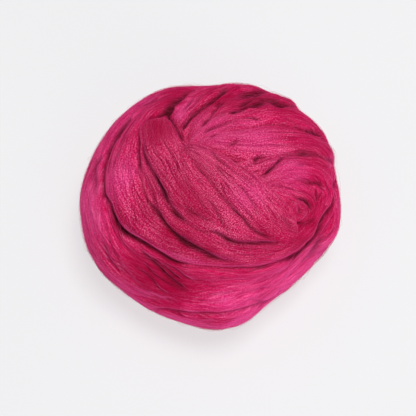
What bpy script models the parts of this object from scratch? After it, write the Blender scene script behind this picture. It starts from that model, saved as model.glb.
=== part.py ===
"""A ball of combed wool roving, wound by hand and resting on its own flattened underside.

The ball is one length of roving. It is modelled as wraps laid one after another over a
squashed core: each wrap follows its own path round the ball, takes its height from the
wraps that lie under it, and presses into them. The union of core and wraps is one solid,
cut flat where the ball sits. Units are metres, +Z is up, and the origin is the middle of
the footprint on the surface that the ball rests on.

A place on the ball is given by two angles: bearing, turned from +X towards +Y, and drop,
measured down from the top.
"""

import math
from typing import NamedTuple

import bmesh
import bpy
import numpy as np

NAME = "roving_ball"
MM = 0.001

# Driving dimensions.
CORE_HALF_SIZES = (69.5 * MM, 64.5 * MM, 37.0 * MM)
CORE_CENTRE = (0.0, 1.4 * MM, 40.5 * MM)
CORE_SEGMENTS = 32
CORE_RINGS = 16

SOFTNESS = 0.45  # share of the heights below that a wrap keeps when it is laid over them
SETTLE_LENGTH = 7.0 * MM  # how far a wrap bridges a step before it follows it down
ROOT_DEPTH = 3.5 * MM  # how far each wrap's underside is let into the core

SECTION_STEP = 6.5 * MM  # spacing of sections along a wrap
FEWEST_SECTIONS = 10
CROWN_POINTS = 8  # points across the top of a section
CROWN_POWER = 2.2  # fullness of a section: 2 is an ellipse, more is squarer
CROWN_ROUND = 0.55

ROVING_COLOUR = (0.527, 0.014, 0.118, 1.0)
ROVING_ROUGHNESS = 0.9


class Place(NamedTuple):
    """A section of a wrap: where its middle lies, how wide it is and how far it stands up."""

    bearing: float  # degrees
    drop: float  # degrees
    width: float  # mm
    lift: float = 0.0  # mm


class Wrap(NamedTuple):
    """One pass of the roving round the ball."""

    name: str
    loft: float  # mm, thickness of the roving at its crown
    closed: bool  # True for a full turn, False where both ends tuck in
    places: tuple
    tucks: tuple = (14.0, 14.0)  # mm over which each open end thins out


# The wraps in the order in which they are laid. Rows: bearing, drop, width, lift.
WRAPS = (
    Wrap("under_first", 7.0, False, (
        Place(20, 98, 28), Place(22, 125, 34), Place(30, 152, 38), Place(105, 172, 38),
        Place(190, 152, 38), Place(200, 125, 34), Place(202, 98, 28),
    )),
    Wrap("under_second", 7.0, False, (
        Place(85, 98, 28), Place(82, 125, 34), Place(75, 152, 38), Place(350, 174, 38),
        Place(265, 152, 38), Place(258, 125, 34), Place(255, 98, 28),
    )),
    Wrap("under_third", 7.0, False, (
        Place(140, 98, 28), Place(138, 125, 34), Place(130, 152, 38), Place(215, 174, 38),
        Place(315, 152, 38), Place(322, 125, 34), Place(325, 98, 28),
    )),
    Wrap("low_belly", 7.0, True, (
        Place(0, 124, 30), Place(60, 130, 30), Place(120, 128, 30), Place(180, 120, 30),
        Place(240, 118, 30), Place(300, 122, 30),
    )),
    Wrap("belly", 7.0, True, (
        Place(0, 104, 30), Place(60, 100, 30, 1), Place(120, 102, 30), Place(180, 108, 30),
        Place(240, 114, 30, -2), Place(300, 110, 30, -4), Place(330, 108, 30, -2),
    )),
    Wrap("sling_right", 6.5, False, (
        Place(290, 140, 18), Place(318, 122, 22), Place(345, 108, 24), Place(12, 99, 24),
        Place(40, 98, 24), Place(68, 106, 24), Place(95, 122, 22), Place(122, 142, 18),
    )),
    Wrap("sling_left", 6.5, False, (
        Place(70, 146, 18), Place(102, 126, 22), Place(132, 110, 24), Place(160, 101, 24),
        Place(188, 100, 24), Place(214, 108, 24), Place(238, 122, 22), Place(262, 142, 18),
    )),
    Wrap("lip", 6.5, False, (
        Place(195, 106, 22, -1), Place(212, 98, 22, 1), Place(228, 97, 22), Place(243, 92, 22, 2),
        Place(258, 88, 24, 4), Place(274, 86, 24, 6), Place(286, 86, 24, 5), Place(300, 89, 22),
        Place(318, 96, 20, -2), Place(335, 102, 20, -2),
    )),
    Wrap("rim", 8.0, True, (
        Place(20, 78, 26, 1), Place(60, 77, 27, 3), Place(93, 74, 28, 1.5), Place(109, 74, 29, 2),
        Place(123, 77, 28, 2), Place(139, 77, 28, 1), Place(163, 73, 28, 0.5), Place(183, 76, 29, 1.5),
        Place(202, 76, 29, 2), Place(221, 77, 28), Place(240, 78, 28, -3), Place(259, 77, 28, -4),
        Place(277, 74, 28, -4), Place(295, 73, 27, -5), Place(314, 73, 25, -6), Place(331, 76, 25, -4),
        Place(346, 80, 25, 0.5),
    )),
    Wrap("shoulder", 6.5, False, (
        Place(138, 59, 12, -1), Place(164, 53, 14), Place(188, 50, 16), Place(209, 50, 17),
        Place(224, 48, 17), Place(243, 46, 18), Place(262, 46, 18), Place(283, 49, 18),
        Place(300, 54, 18), Place(315, 58, 16), Place(329, 61, 15), Place(343, 64, 14),
        Place(0, 70, 14), Place(15, 76, 14, -1),
    )),
    Wrap("broad_turn", 7.5, False, (
        Place(86, 62, 12, -1), Place(104, 54, 15), Place(121, 56, 16), Place(138, 52, 16),
        Place(162, 45, 22), Place(181, 42, 26), Place(203, 39, 26), Place(223, 36, 24),
        Place(243, 35, 20), Place(260, 36, 18), Place(279, 38, 16), Place(298, 44, 14),
        Place(314, 51, 12), Place(330, 57, 11), Place(346, 63, 10, -1),
    )),
    Wrap("narrow_turn", 6.0, False, (
        Place(126, 52, 8, -2), Place(140, 44, 9), Place(162, 31, 10), Place(185, 24, 13),
        Place(215, 24, 13), Place(240, 25, 14), Place(259, 27, 14), Place(277, 32, 13),
        Place(295, 38, 13), Place(312, 46, 12), Place(324, 53, 10), Place(337, 58, 10),
        Place(349, 63, 11), Place(3, 68, 10, -1),
    )),
    Wrap("back_turn", 7.0, False, (
        Place(115, 25, 9, -1), Place(99, 33, 12), Place(89, 40, 15), Place(76, 51, 21),
        Place(64, 65, 26, 1), Place(52, 75, 26, 2), Place(38, 84, 22, 2),
    )),
    Wrap("back_edge", 7.0, False, (
        Place(150, 14, 8, -3), Place(124, 28, 9, -1), Place(116, 35, 12), Place(107, 42, 14),
        Place(98, 49, 16), Place(89, 57, 18), Place(80, 69, 18), Place(70, 84, 18),
    )),
    Wrap("wedge", 5.5, False, (
        Place(290, 8, 7, -2), Place(15, 21, 11), Place(19, 28, 10), Place(21, 36, 9),
        Place(22, 46, 8, -2),
    )),
    Wrap("inner_swirl", 4.5, False, (
        Place(345, 18, 7, -2), Place(355, 30, 8), Place(359, 38, 10), Place(0, 45, 12),
        Place(357, 52, 13), Place(352, 57, 12), Place(345, 58, 10), Place(338, 55, 8, -1.5),
    )),
    Wrap("outer_swirl", 6.5, False, (
        Place(335, 12, 7, -2), Place(2, 26, 9), Place(9, 34, 12), Place(13, 43, 15),
        Place(12, 56, 17), Place(8, 65, 18), Place(1, 69, 18), Place(352, 66, 13),
        Place(343, 61, 10, -1),
    )),
    Wrap("crown_back", 7.0, False, (
        Place(150, 10, 7, -3), Place(110, 21, 9, -1), Place(93, 27, 12), Place(77, 35, 14),
        Place(62, 45, 18, 1), Place(50, 59, 22, 2), Place(41, 70, 22, 2.5), Place(31, 80, 20, 2),
        Place(20, 90, 18),
    )),
    Wrap("crown_front", 7.0, False, (
        Place(130, 9, 8, -3), Place(97, 19, 9), Place(73, 22, 16), Place(49, 29, 23),
        Place(37, 41, 25, 0.5), Place(32, 53, 24, 1), Place(27, 65, 23, 1.5), Place(19, 76, 20, 1),
        Place(10, 86, 16),
    )),
    Wrap("lower_fold", 7.5, False, (
        Place(118, 56, 14, -3), Place(120, 52, 16, -1), Place(123, 45, 18), Place(129, 36, 20),
        Place(137, 28, 24), Place(147, 20, 26), Place(168, 13, 28), Place(212, 9, 30),
        Place(261, 13, 30), Place(282, 19, 30), Place(297, 26, 26), Place(307, 34, 20),
        Place(316, 42, 15), Place(326, 50, 11, -2),
    ), (10.0, 14.0)),
    Wrap("upper_fold", 7.5, False, (
        Place(136, 24, 7, -3), Place(116, 17, 11), Place(82, 10, 16), Place(12, 9, 22),
        Place(342, 18, 27), Place(332, 29, 28), Place(327, 40, 28), Place(328, 49, 24),
        Place(331, 56, 16, -1),
    ), (14.0, 9.0)),
    Wrap("curl", 5.0, False, (
        Place(348, 40, 8, -1), Place(345, 43, 10), Place(342, 47, 11), Place(340, 50, 10),
        Place(338, 54, 7, -1),
    ), (5.0, 5.0)),
)


def unit(vectors):
    """Scale each vector to length one."""
    return vectors / np.linalg.norm(vectors, axis=-1, keepdims=True)


def spline(rows, closed, per_span):
    """Catmull-Rom curve through the rows, sampled evenly within each span."""
    count = len(rows)
    spans = count if closed else count - 1
    share = (np.arange(per_span) / per_span)[:, None]
    runs = []
    for span in range(spans):
        if closed:
            before, start, end, after = (rows[(span + k) % count] for k in (-1, 0, 1, 2))
        else:
            start, end = rows[span], rows[span + 1]
            before = rows[span - 1] if span > 0 else 2 * start - end
            after = rows[span + 2] if span + 2 < count else 2 * end - start
        runs.append(0.5 * (
            2 * start
            + (end - before) * share
            + (2 * before - 5 * start + 4 * end - after) * share**2
            + (3 * start - before - 3 * end + after) * share**3
        ))
    runs.append(rows[:1] if closed else rows[-1:])
    return np.vstack(runs)


def smooth_along(values, step, closed):
    """Average a row of heights over the settling length."""
    reach = int(3 * SETTLE_LENGTH / step) + 1
    offsets = np.arange(-reach, reach + 1) * step
    weights = np.exp(-0.5 * (offsets / SETTLE_LENGTH) ** 2)
    padded = np.pad(values, reach, mode="wrap" if closed else "edge")
    return np.convolve(padded, weights / weights.sum(), "valid")


def crown(across):
    """Height of a section's top, as a share of its loft, at -1 to 1 across it."""
    return np.clip(1 - np.abs(across) ** CROWN_POWER, 0, 1) ** CROWN_ROUND


class LaidWrap:
    """A wrap once it lies on the ball: evenly spaced sections and the heights under them."""

    def __init__(self, wrap, core, laid):
        self.wrap = wrap
        self.core = core
        self.follow_path()
        self.thin_ends()
        self.settle(laid)

    def follow_path(self):
        """Space the sections evenly along the smooth path through the wrap's places."""
        places = np.array(self.wrap.places, float)
        bearing, drop = np.radians(places[:, 0]), np.radians(places[:, 1])
        headings = np.stack(
            (np.sin(drop) * np.cos(bearing), np.sin(drop) * np.sin(bearing), np.cos(drop)), 1
        )
        fine = spline(np.hstack((headings, places[:, 2:] * MM)), self.wrap.closed, 24)
        points = unit(fine[:, :3]) * self.core
        travel = np.concatenate(((0,), np.cumsum(np.linalg.norm(np.diff(points, axis=0), axis=1))))
        self.length = travel[-1]
        self.count = max(FEWEST_SECTIONS, round(self.length / SECTION_STEP))
        self.step = self.length / (self.count if self.wrap.closed else self.count - 1)
        self.travelled = self.step * np.arange(self.count)
        columns = [np.interp(self.travelled, travel, fine[:, k]) for k in range(5)]
        heading = unit(np.stack(columns[:3], 1))
        self.points = heading * self.core
        self.width, self.lift = columns[3], columns[4]
        if self.wrap.closed:
            along = np.roll(self.points, -1, 0) - np.roll(self.points, 1, 0)
        else:
            along = np.gradient(self.points, axis=0)
        normal = unit(heading / self.core)
        self.along = unit(along - normal * (along * normal).sum(1, keepdims=True))
        self.side = np.cross(normal, self.along)

    def thin_ends(self):
        """Narrow, thin and sink an open wrap towards its tucked ends."""
        fullness = np.ones(self.count)
        self.sink = np.zeros(self.count)
        if not self.wrap.closed:
            for reach, away in zip(self.wrap.tucks, (self.travelled, self.length - self.travelled)):
                share = np.clip(away / (reach * MM), 0, 1)
                fullness *= np.maximum(np.sqrt(1 - (1 - share) ** 2), 0.02)
                self.sink += 3.0 * MM * (1 - share) ** 2
        self.half = 0.5 * self.width * (0.35 + 0.65 * fullness)
        self.loft = self.wrap.loft * MM * fullness

    def heading_at(self, across):
        """Directions from the core's middle to the points at -1 to 1 across every section."""
        return unit((self.points + self.side * (across * self.half)[:, None]) / self.core)

    def settle(self, laid):
        """Rest the wrap on what is laid already, pressed in by the softness of the roving."""
        lanes = [
            SOFTNESS * height_over(self.heading_at(across), laid)
            for across in (-0.9, -0.45, 0.0, 0.45, 0.9)
        ]
        blends = (
            0.7 * lanes[0] + 0.3 * lanes[1],
            0.3 * lanes[1] + 0.4 * lanes[2] + 0.3 * lanes[3],
            0.3 * lanes[3] + 0.7 * lanes[4],
        )
        raised = self.lift - self.sink
        self.bed = [smooth_along(blend, self.step, self.wrap.closed) + raised for blend in blends]

    def height(self, index, across):
        """Height of the wrap's top above the core, at a section and a place across it."""
        left, middle, right = (bed[index] for bed in self.bed)
        bend = 0.5 * (right - left) * across + 0.5 * (left + right - 2 * middle) * across**2
        return middle + bend + self.loft[index] * crown(across)

    def height_along(self, headings):
        """Height of the wrap's top along given directions, far below the core off the wrap."""
        points = headings * self.core
        index = ((points[:, None, :] - self.points[None]) ** 2).sum(-1).argmin(1)
        offset = points - self.points[index]
        across = (offset * self.side[index]).sum(1) / self.half[index]
        inside = np.abs(across) < 1
        if not self.wrap.closed:
            past = (offset * self.along[index]).sum(1)
            inside &= ~((index == 0) & (past < -self.step))
            inside &= ~((index == self.count - 1) & (past > self.step))
        return np.where(inside, self.height(index, across), -1.0)

    def section_rings(self):
        """Corner points of every section: over the crown, then back along the underside."""
        spread = np.sin(np.linspace(-0.5, 0.5, CROWN_POINTS) * math.pi)
        every = np.arange(self.count)
        columns = [self.raise_from(across, self.height(every, across)) for across in spread]
        lowest = np.min([bed - MM for bed in self.bed], axis=0)
        sunk = np.minimum(lowest, -ROOT_DEPTH)
        columns += [self.raise_from(across, sunk) for across in (1.0, 0.0, -1.0)]
        return np.stack(columns, 1)

    def raise_from(self, across, height):
        """Points that stand a given height off the core, square to it."""
        heading = self.heading_at(across)
        return heading * self.core + unit(heading / self.core) * height[:, None] + CORE_CENTRE


def height_over(headings, laid):
    """Height of the ball so far above its core, along given directions."""
    top = np.zeros(len(headings))
    for wrap in laid:
        top = np.maximum(top, wrap.height_along(headings))
    return top


def wind_ball():
    """Lay all the wraps in order."""
    core = np.array(CORE_HALF_SIZES)
    laid = []
    for wrap in WRAPS:
        laid.append(LaidWrap(wrap, core, laid))
    return laid


def loft_mesh(name, rings, closed):
    """Skin a row of sections into one closed body, capped where it is open."""
    count, around, _ = rings.shape
    mesh_data = bmesh.new()
    verts = [[mesh_data.verts.new(corner) for corner in ring] for ring in rings.tolist()]
    for here in range(count if closed else count - 1):
        ahead = (here + 1) % count
        for corner in range(around):
            beside = (corner + 1) % around
            mesh_data.faces.new((
                verts[here][corner], verts[here][beside],
                verts[ahead][beside], verts[ahead][corner],
            ))
    if not closed:
        mesh_data.faces.new(reversed(verts[0]))
        mesh_data.faces.new(verts[-1])
    bmesh.ops.triangulate(mesh_data, faces=mesh_data.faces)
    bmesh.ops.recalc_face_normals(mesh_data, faces=mesh_data.faces)
    mesh = bpy.data.meshes.new(name)
    mesh_data.to_mesh(mesh)
    mesh_data.free()
    return mesh


def core_mesh():
    """The squashed core that the wraps are laid over."""
    mesh_data = bmesh.new()
    bmesh.ops.create_uvsphere(mesh_data, u_segments=CORE_SEGMENTS, v_segments=CORE_RINGS, radius=1.0)
    bmesh.ops.scale(mesh_data, vec=CORE_HALF_SIZES, verts=mesh_data.verts)
    bmesh.ops.translate(mesh_data, vec=CORE_CENTRE, verts=mesh_data.verts)
    mesh = bpy.data.meshes.new(NAME)
    mesh_data.to_mesh(mesh)
    mesh_data.free()
    return mesh


def surface_cutter():
    """The slab below the resting surface, which flattens the underside."""
    size = 4 * max(CORE_HALF_SIZES)
    mesh_data = bmesh.new()
    bmesh.ops.create_cube(mesh_data, size=size)
    bmesh.ops.translate(mesh_data, vec=(0, 0, -0.5 * size), verts=mesh_data.verts)
    mesh = bpy.data.meshes.new("resting_surface")
    mesh_data.to_mesh(mesh)
    mesh_data.free()
    return mesh


def roving_material():
    """Dyed wool: matt and soft."""
    material = bpy.data.materials.new("dyed_wool")
    material.use_nodes = True
    shader = material.node_tree.nodes["Principled BSDF"]
    shader.inputs["Base Color"].default_value = ROVING_COLOUR
    shader.inputs["Roughness"].default_value = ROVING_ROUGHNESS
    shader.inputs["Metallic"].default_value = 0.0
    return material


def add_collection(name):
    """A collection of the scene."""
    collection = bpy.data.collections.new(name)
    bpy.context.scene.collection.children.link(collection)
    return collection


def add_tool(name, mesh, collection):
    """A hidden object that only shapes the ball."""
    tool = bpy.data.objects.new(name, mesh)
    tool.hide_render = True
    tool.display_type = "WIRE"
    collection.objects.link(tool)
    return tool


def add_boolean(ball, name, operation):
    """An exact Boolean on the ball."""
    cut = ball.modifiers.new(name, "BOOLEAN")
    cut.operation = operation
    cut.solver = "EXACT"
    return cut


def main():
    """Build the ball as one solid."""
    for leftover in list(bpy.data.objects):
        bpy.data.objects.remove(leftover, do_unlink=True)

    ball = bpy.data.objects.new(NAME, core_mesh())
    ball.data.materials.append(roving_material())
    add_collection("wool_roving").objects.link(ball)

    wraps = add_collection("wraps")
    for laid in wind_ball():
        mesh = loft_mesh(laid.wrap.name, laid.section_rings(), laid.wrap.closed)
        add_tool("wrap_" + laid.wrap.name, mesh, wraps)
    union = add_boolean(ball, "wind", "UNION")
    union.operand_type = "COLLECTION"
    union.collection = wraps

    cutters = add_collection("cutters")
    flatten = add_boolean(ball, "flatten", "DIFFERENCE")
    flatten.object = add_tool("resting_surface", surface_cutter(), cutters)


main()
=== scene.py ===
"""A wound ball of combed wool roving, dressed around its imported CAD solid.

The ball is one length of roving. The CAD solid holds its wound form: wraps laid one after
another over a squashed core. This script lays the same wraps again from the same places,
far finer, and gives each the lengthwise lobes, creases and stray fibres of combed wool.
Units are metres, +Z is up, and the origin is the middle of the ball's footprint. A place
on the ball is a bearing, turned from +X towards +Y, and a drop, measured down from the top.
"""

import logging
import math
from dataclasses import dataclass, field
from enum import Enum
from typing import Iterable, NamedTuple, Sequence

import bmesh
import bpy
import numpy as np
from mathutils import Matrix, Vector


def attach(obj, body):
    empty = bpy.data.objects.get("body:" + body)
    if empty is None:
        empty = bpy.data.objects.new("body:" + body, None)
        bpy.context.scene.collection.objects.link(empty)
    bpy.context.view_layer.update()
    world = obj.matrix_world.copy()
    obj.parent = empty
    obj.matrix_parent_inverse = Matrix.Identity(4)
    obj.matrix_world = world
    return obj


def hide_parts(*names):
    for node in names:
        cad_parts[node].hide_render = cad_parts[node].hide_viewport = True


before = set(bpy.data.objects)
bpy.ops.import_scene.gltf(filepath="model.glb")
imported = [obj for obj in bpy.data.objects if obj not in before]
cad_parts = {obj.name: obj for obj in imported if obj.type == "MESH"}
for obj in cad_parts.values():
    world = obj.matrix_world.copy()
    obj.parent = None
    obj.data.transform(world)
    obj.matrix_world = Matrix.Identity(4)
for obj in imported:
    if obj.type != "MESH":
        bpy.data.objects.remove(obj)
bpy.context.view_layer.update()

LOG = logging.getLogger("roving")
MM = 0.001
BODY = "root"
NODE = "roving_ball"

SOFTNESS = 0.45  # share of the heights below that a wrap keeps when it is laid over them
SETTLE_LENGTH = 7.0 * MM  # how far a wrap bridges a step before it follows it down
ROOT_DEPTH = 3.5 * MM  # how far each wrap's underside is let into the core
CROWN_POWER = 2.2  # fullness of a section: 2 is an ellipse, more is squarer
CROWN_ROUND = 0.55
NEIGHBOURS = (-1, 0, 1, 2)  # samples round a point, counted from the one before it
NOT_THERE = -1.0  # metres, for the height of a wrap where it doesn't lie

# Where across its width a wrap feels what it lies on, from -1 to 1, and which of these
# places, in what shares, make the height of its bed at the left, in the middle and right.
BED_PROBES = (-0.9, -0.45, 0.0, 0.45, 0.9)
BED_BLENDS = (
    ((0, 0.7), (1, 0.3)),
    ((1, 0.3), (2, 0.4), (3, 0.3)),
    ((3, 0.3), (4, 0.7)),
)

# Lanes of a wrap's underside, from its right edge to its left: where they lie across it,
# and where the pattern of its fibres is read for them.
UNDERSIDE = ((1.0, 1.3), (0.0, 0.0), (-1.0, -1.3))


class Course(Enum):
    """How a wrap ends."""

    FULL_TURN = "full turn"
    TUCKED = "tucked"


class Place(NamedTuple):
    """A section of a wrap: where its middle lies, how wide it is and how far it stands up."""

    bearing: float  # degrees
    drop: float  # degrees
    width: float  # mm
    lift: float = 0.0  # mm


class Fold(NamedTuple):
    """A line pressed into the ball, between two wraps or along the fibres of one."""

    name: str
    places: tuple[tuple[float, float, float, float], ...]  # bearing, drop, depth and width


class PaintedShading(Enum):
    """Painted shade and painted light on part of a turn, from the deepest shade to the palest
    light.
    """

    DEEP = 0.9
    FULL = 0.6
    WARM = 0.35
    SOFT = -0.5
    PALE = -0.85


class Tint(NamedTuple):
    """Part of a turn with painted shade, which darkens it, or painted light, which pales it."""

    name: str
    dye: PaintedShading
    reach: float  # mm
    places: tuple[tuple[float, float], ...]  # bearing and drop, degrees


class Stop(NamedTuple):
    """A colour on a ramp."""

    place: float
    code: str  # sRGB hex value


@dataclass(frozen=True)
class Wrap:
    """One pass of the roving round the ball."""

    name: str
    loft: float  # mm, thickness of the roving at its crown
    course: Course
    places: tuple[Place, ...]
    tucks: tuple[float, float] = (14.0, 14.0)  # mm over which each open end thins out

    @property
    def closed(self) -> bool:
        """Whether the wrap runs into itself."""
        return self.course is Course.FULL_TURN


@dataclass(frozen=True)
class Ridges:
    """One size of lengthwise lobe in the combed fibre."""

    length: float  # mm along the roving
    width: float  # mm across it
    height: float  # mm
    lobed: bool  # round lobes with sharp creases between them


@dataclass(frozen=True)
class Core:
    """The squashed core that the wraps are laid over."""

    half_sizes: tuple[float, float, float] = (69.5 * MM, 64.5 * MM, 37.0 * MM)
    centre: tuple[float, float, float] = (0.0, 1.4 * MM, 40.5 * MM)
    girth_top: float = 0.62  # rise of a direction above which no swell reaches
    girth_fade: float = 0.5  # how much lower the swells are full

    @property
    def reach(self) -> np.ndarray:
        """Half sizes as an array."""
        return np.array(self.half_sizes)

    def raise_from(self, headings: np.ndarray, height: np.ndarray) -> np.ndarray:
        """Points that stand a given height off the core, square to it.

        Args:
            headings: unit directions from the core's middle.
            height: metres above the core, one for each direction.

        Returns:
            The points, in the frame of the CAD.
        """
        normal = unit(headings / self.reach)
        raised = headings * self.reach + normal * height[..., None] + np.array(self.centre)
        return raised + self.swell(headings)

    def swell(self, headings: np.ndarray) -> np.ndarray:
        """How far the girth is moved out or in, level with the ground.

        Args:
            headings: unit directions from the core's middle.

        Returns:
            The moves, in metres, one for each direction.
        """
        bearing = np.degrees(np.arctan2(headings[..., 1], headings[..., 0]))
        amount = np.zeros_like(bearing)
        for middle, out in SWELLS:
            apart = (bearing - middle + 180) % 360 - 180
            amount += out * MM * np.exp(-0.5 * (apart / SWELL_SPREAD) ** 2)
        girth = np.clip((self.girth_top - headings[..., 2]) / self.girth_fade, 0, 1)
        outward = np.stack((np.cos(np.radians(bearing)), np.sin(np.radians(bearing))), -1)
        flat = np.concatenate((outward, np.zeros_like(outward[..., :1])), -1)
        return flat * (amount * girth * girth * (3 - 2 * girth))[..., None]


# Where the slack outer wraps bulge or are drawn in. Rows: bearing in degrees, mm outwards.
SWELL_SPREAD = 9.0  # degrees
SWELLS = (
    (10, -1.0), (25, 1.3), (42, -2.0), (57, 1.6), (72, 0.5), (90, -2.5), (150, -1.4), (170, -1.3),
    (190, -1.8), (230, 0.9), (276, 1.7), (293, -1.0), (320, -1.0), (340, 2.0),
)

# The wraps in the order in which they are laid. Rows: bearing, drop, width, lift.
WINDING = (
    Wrap("under_first", 7.0, Course.TUCKED, (
        Place(20, 98, 28), Place(22, 125, 34), Place(30, 152, 38), Place(105, 172, 38),
        Place(190, 152, 38), Place(200, 125, 34), Place(202, 98, 28),
    )),
    Wrap("under_second", 7.0, Course.TUCKED, (
        Place(85, 98, 28), Place(82, 125, 34), Place(75, 152, 38), Place(350, 174, 38),
        Place(265, 152, 38), Place(258, 125, 34), Place(255, 98, 28),
    )),
    Wrap("under_third", 7.0, Course.TUCKED, (
        Place(140, 98, 28), Place(138, 125, 34), Place(130, 152, 38), Place(215, 174, 38),
        Place(315, 152, 38), Place(322, 125, 34), Place(325, 98, 28),
    )),
    Wrap("foot_turn", 6.0, Course.FULL_TURN, (
        Place(0, 148, 30), Place(60, 148, 30), Place(120, 148, 30), Place(180, 148, 30),
        Place(240, 148, 30), Place(300, 148, 30),
    )),
    Wrap("low_belly", 7.0, Course.FULL_TURN, (
        Place(0, 124, 30), Place(60, 130, 30), Place(120, 128, 30), Place(180, 120, 30),
        Place(240, 118, 30), Place(300, 122, 30),
    )),
    Wrap("belly", 7.0, Course.FULL_TURN, (
        Place(0, 104, 30), Place(60, 100, 30, 1), Place(120, 102, 30), Place(180, 108, 30),
        Place(240, 114, 30, -2), Place(300, 110, 30, -4), Place(330, 108, 30, -2),
    )),
    Wrap("sling_right", 6.5, Course.TUCKED, (
        Place(290, 140, 18), Place(318, 122, 22), Place(345, 108, 24), Place(12, 99, 24),
        Place(40, 98, 24), Place(68, 106, 24), Place(95, 122, 22), Place(122, 142, 18),
    )),
    Wrap("sling_left", 6.5, Course.TUCKED, (
        Place(70, 146, 18), Place(102, 126, 22), Place(132, 110, 24), Place(160, 101, 24),
        Place(188, 100, 24), Place(214, 108, 24), Place(238, 122, 22), Place(262, 142, 18),
    )),
    Wrap("lip", 6.5, Course.TUCKED, (
        Place(195, 106, 22, -1), Place(212, 98, 22, 1), Place(228, 97, 22),
        Place(243, 92, 22, 2), Place(258, 88, 24, 4), Place(274, 86, 24, 6),
        Place(286, 86, 24, 5), Place(300, 89, 22), Place(318, 96, 20, -2),
        Place(335, 102, 20, -2),
    )),
    Wrap("rim", 8.0, Course.FULL_TURN, (
        Place(20, 78, 26, 1), Place(60, 77, 27, 3), Place(93, 74, 28, 1.5),
        Place(109, 74, 29, 2), Place(123, 77, 28, 2), Place(139, 77, 28, 1),
        Place(163, 73, 28, 0.5), Place(183, 76, 29, 1.5), Place(202, 76, 29, 2),
        Place(221, 75.5, 31), Place(240, 75.5, 33, -3), Place(259, 74.5, 33, -4),
        Place(277, 72.5, 31, -4), Place(295, 73, 27, -5), Place(314, 73, 25, -6),
        Place(331, 76, 25, -4), Place(346, 80, 25, 0.5),
    )),
    Wrap("shoulder", 6.5, Course.TUCKED, (
        Place(138, 59, 12, -1), Place(164, 53, 14), Place(188, 50, 16), Place(209, 50, 18),
        Place(224, 50, 21, -1.5), Place(243, 49, 24, -3), Place(262, 49, 24, -3.5),
        Place(283, 51, 22, -3), Place(300, 55, 20, -1.5), Place(315, 58, 16), Place(329, 61, 15),
        Place(343, 64, 14), Place(0, 70, 14), Place(15, 76, 14, -1),
    )),
    Wrap("broad_turn", 7.5, Course.TUCKED, (
        Place(86, 62, 12, -1), Place(104, 54, 15), Place(121, 56, 16), Place(138, 52, 16),
        Place(162, 45, 22), Place(181, 42, 26), Place(203, 39, 26), Place(223, 36, 24),
        Place(243, 35, 20), Place(260, 36, 18), Place(279, 38, 16), Place(298, 44, 14),
        Place(314, 51, 12), Place(330, 57, 11), Place(346, 63, 10, -1),
    )),
    Wrap("narrow_turn", 6.0, Course.TUCKED, (
        Place(126, 52, 8, -2), Place(140, 44, 9), Place(162, 31, 10), Place(185, 24, 13),
        Place(215, 24, 13), Place(240, 25, 14), Place(259, 27, 14), Place(277, 32, 13),
        Place(295, 38, 13), Place(312, 46, 12), Place(324, 53, 10), Place(337, 58, 10),
        Place(349, 63, 11), Place(3, 68, 10, -1),
    )),
    Wrap("back_turn", 7.0, Course.TUCKED, (
        Place(115, 25, 9, -1), Place(99, 33, 12), Place(89, 40, 15), Place(76, 51, 21),
        Place(64, 65, 26, 1), Place(52, 75, 26, 2), Place(38, 84, 22, 2),
    )),
    Wrap("back_edge", 7.0, Course.TUCKED, (
        Place(150, 14, 8, -3), Place(124, 28, 11, -1), Place(116, 35, 13), Place(107, 42, 14),
        Place(98, 49, 16), Place(89, 57, 18), Place(80, 69, 18), Place(70, 84, 18),
    )),
    Wrap("wedge", 5.5, Course.TUCKED, (
        Place(290, 8, 8, -2), Place(18, 19, 17), Place(20, 27, 14), Place(21, 36, 10),
        Place(22, 46, 8, -2),
    )),
    Wrap("inner_swirl", 4.5, Course.TUCKED, (
        Place(345, 18, 7, -2), Place(354, 30, 12), Place(356, 38, 17), Place(356, 45, 19),
        Place(354, 52, 17), Place(350, 57, 14), Place(345, 58, 10), Place(338, 55, 8, -1.5),
    )),
    Wrap("outer_swirl", 6.5, Course.TUCKED, (
        Place(335, 12, 7, -2), Place(2, 26, 9), Place(9, 34, 12), Place(13, 43, 15),
        Place(12, 56, 17), Place(8, 65, 18), Place(1, 69, 18), Place(352, 66, 13),
        Place(343, 61, 10, -1),
    )),
    Wrap("crown_back", 7.0, Course.TUCKED, (
        Place(150, 10, 7, -3), Place(110, 21, 9, -1), Place(93, 27, 12), Place(77, 35, 14),
        Place(62, 45, 18, 1), Place(50, 59, 22, 2), Place(41, 70, 22, 2.5),
        Place(31, 80, 20, 2), Place(20, 90, 18),
    )),
    Wrap("crown_front", 7.0, Course.TUCKED, (
        Place(130, 9, 8, -3), Place(97, 19, 9), Place(73, 22, 16), Place(49, 29, 23),
        Place(37, 41, 25, 0.5), Place(32, 53, 24, 1), Place(27, 65, 23, 1.5),
        Place(19, 76, 20, 1), Place(10, 86, 16),
    )),
    Wrap("lower_fold", 7.5, Course.TUCKED, (
        Place(123, 49.5, 19, -0.5), Place(126, 45, 23, 0.5), Place(132, 38, 27, 1),
        Place(140, 29.5, 29.5, 0.5), Place(148, 21.5, 29.5), Place(168, 14.5, 30.5),
        Place(212, 10, 32), Place(261, 13, 31), Place(282, 19, 30), Place(297, 26, 26),
        Place(307, 34, 20), Place(316, 42, 15), Place(326, 50, 11, -2),
    ), (7.0, 14.0)),
    Wrap("upper_fold", 7.5, Course.TUCKED, (
        Place(136, 24, 7, -3), Place(116, 17, 11), Place(82, 10, 16), Place(12, 9, 22),
        Place(342, 18, 27), Place(332, 29, 28), Place(327, 40, 28), Place(328, 49, 24),
        Place(331, 56, 16, -1),
    ), (14.0, 9.0)),
    Wrap("curl", 5.0, Course.TUCKED, (
        Place(348, 40, 9, -1), Place(345, 43, 12), Place(342, 47, 14), Place(341, 51, 14),
        Place(339, 55, 10, -1),
    ), (5.0, 5.0)),
)

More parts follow.
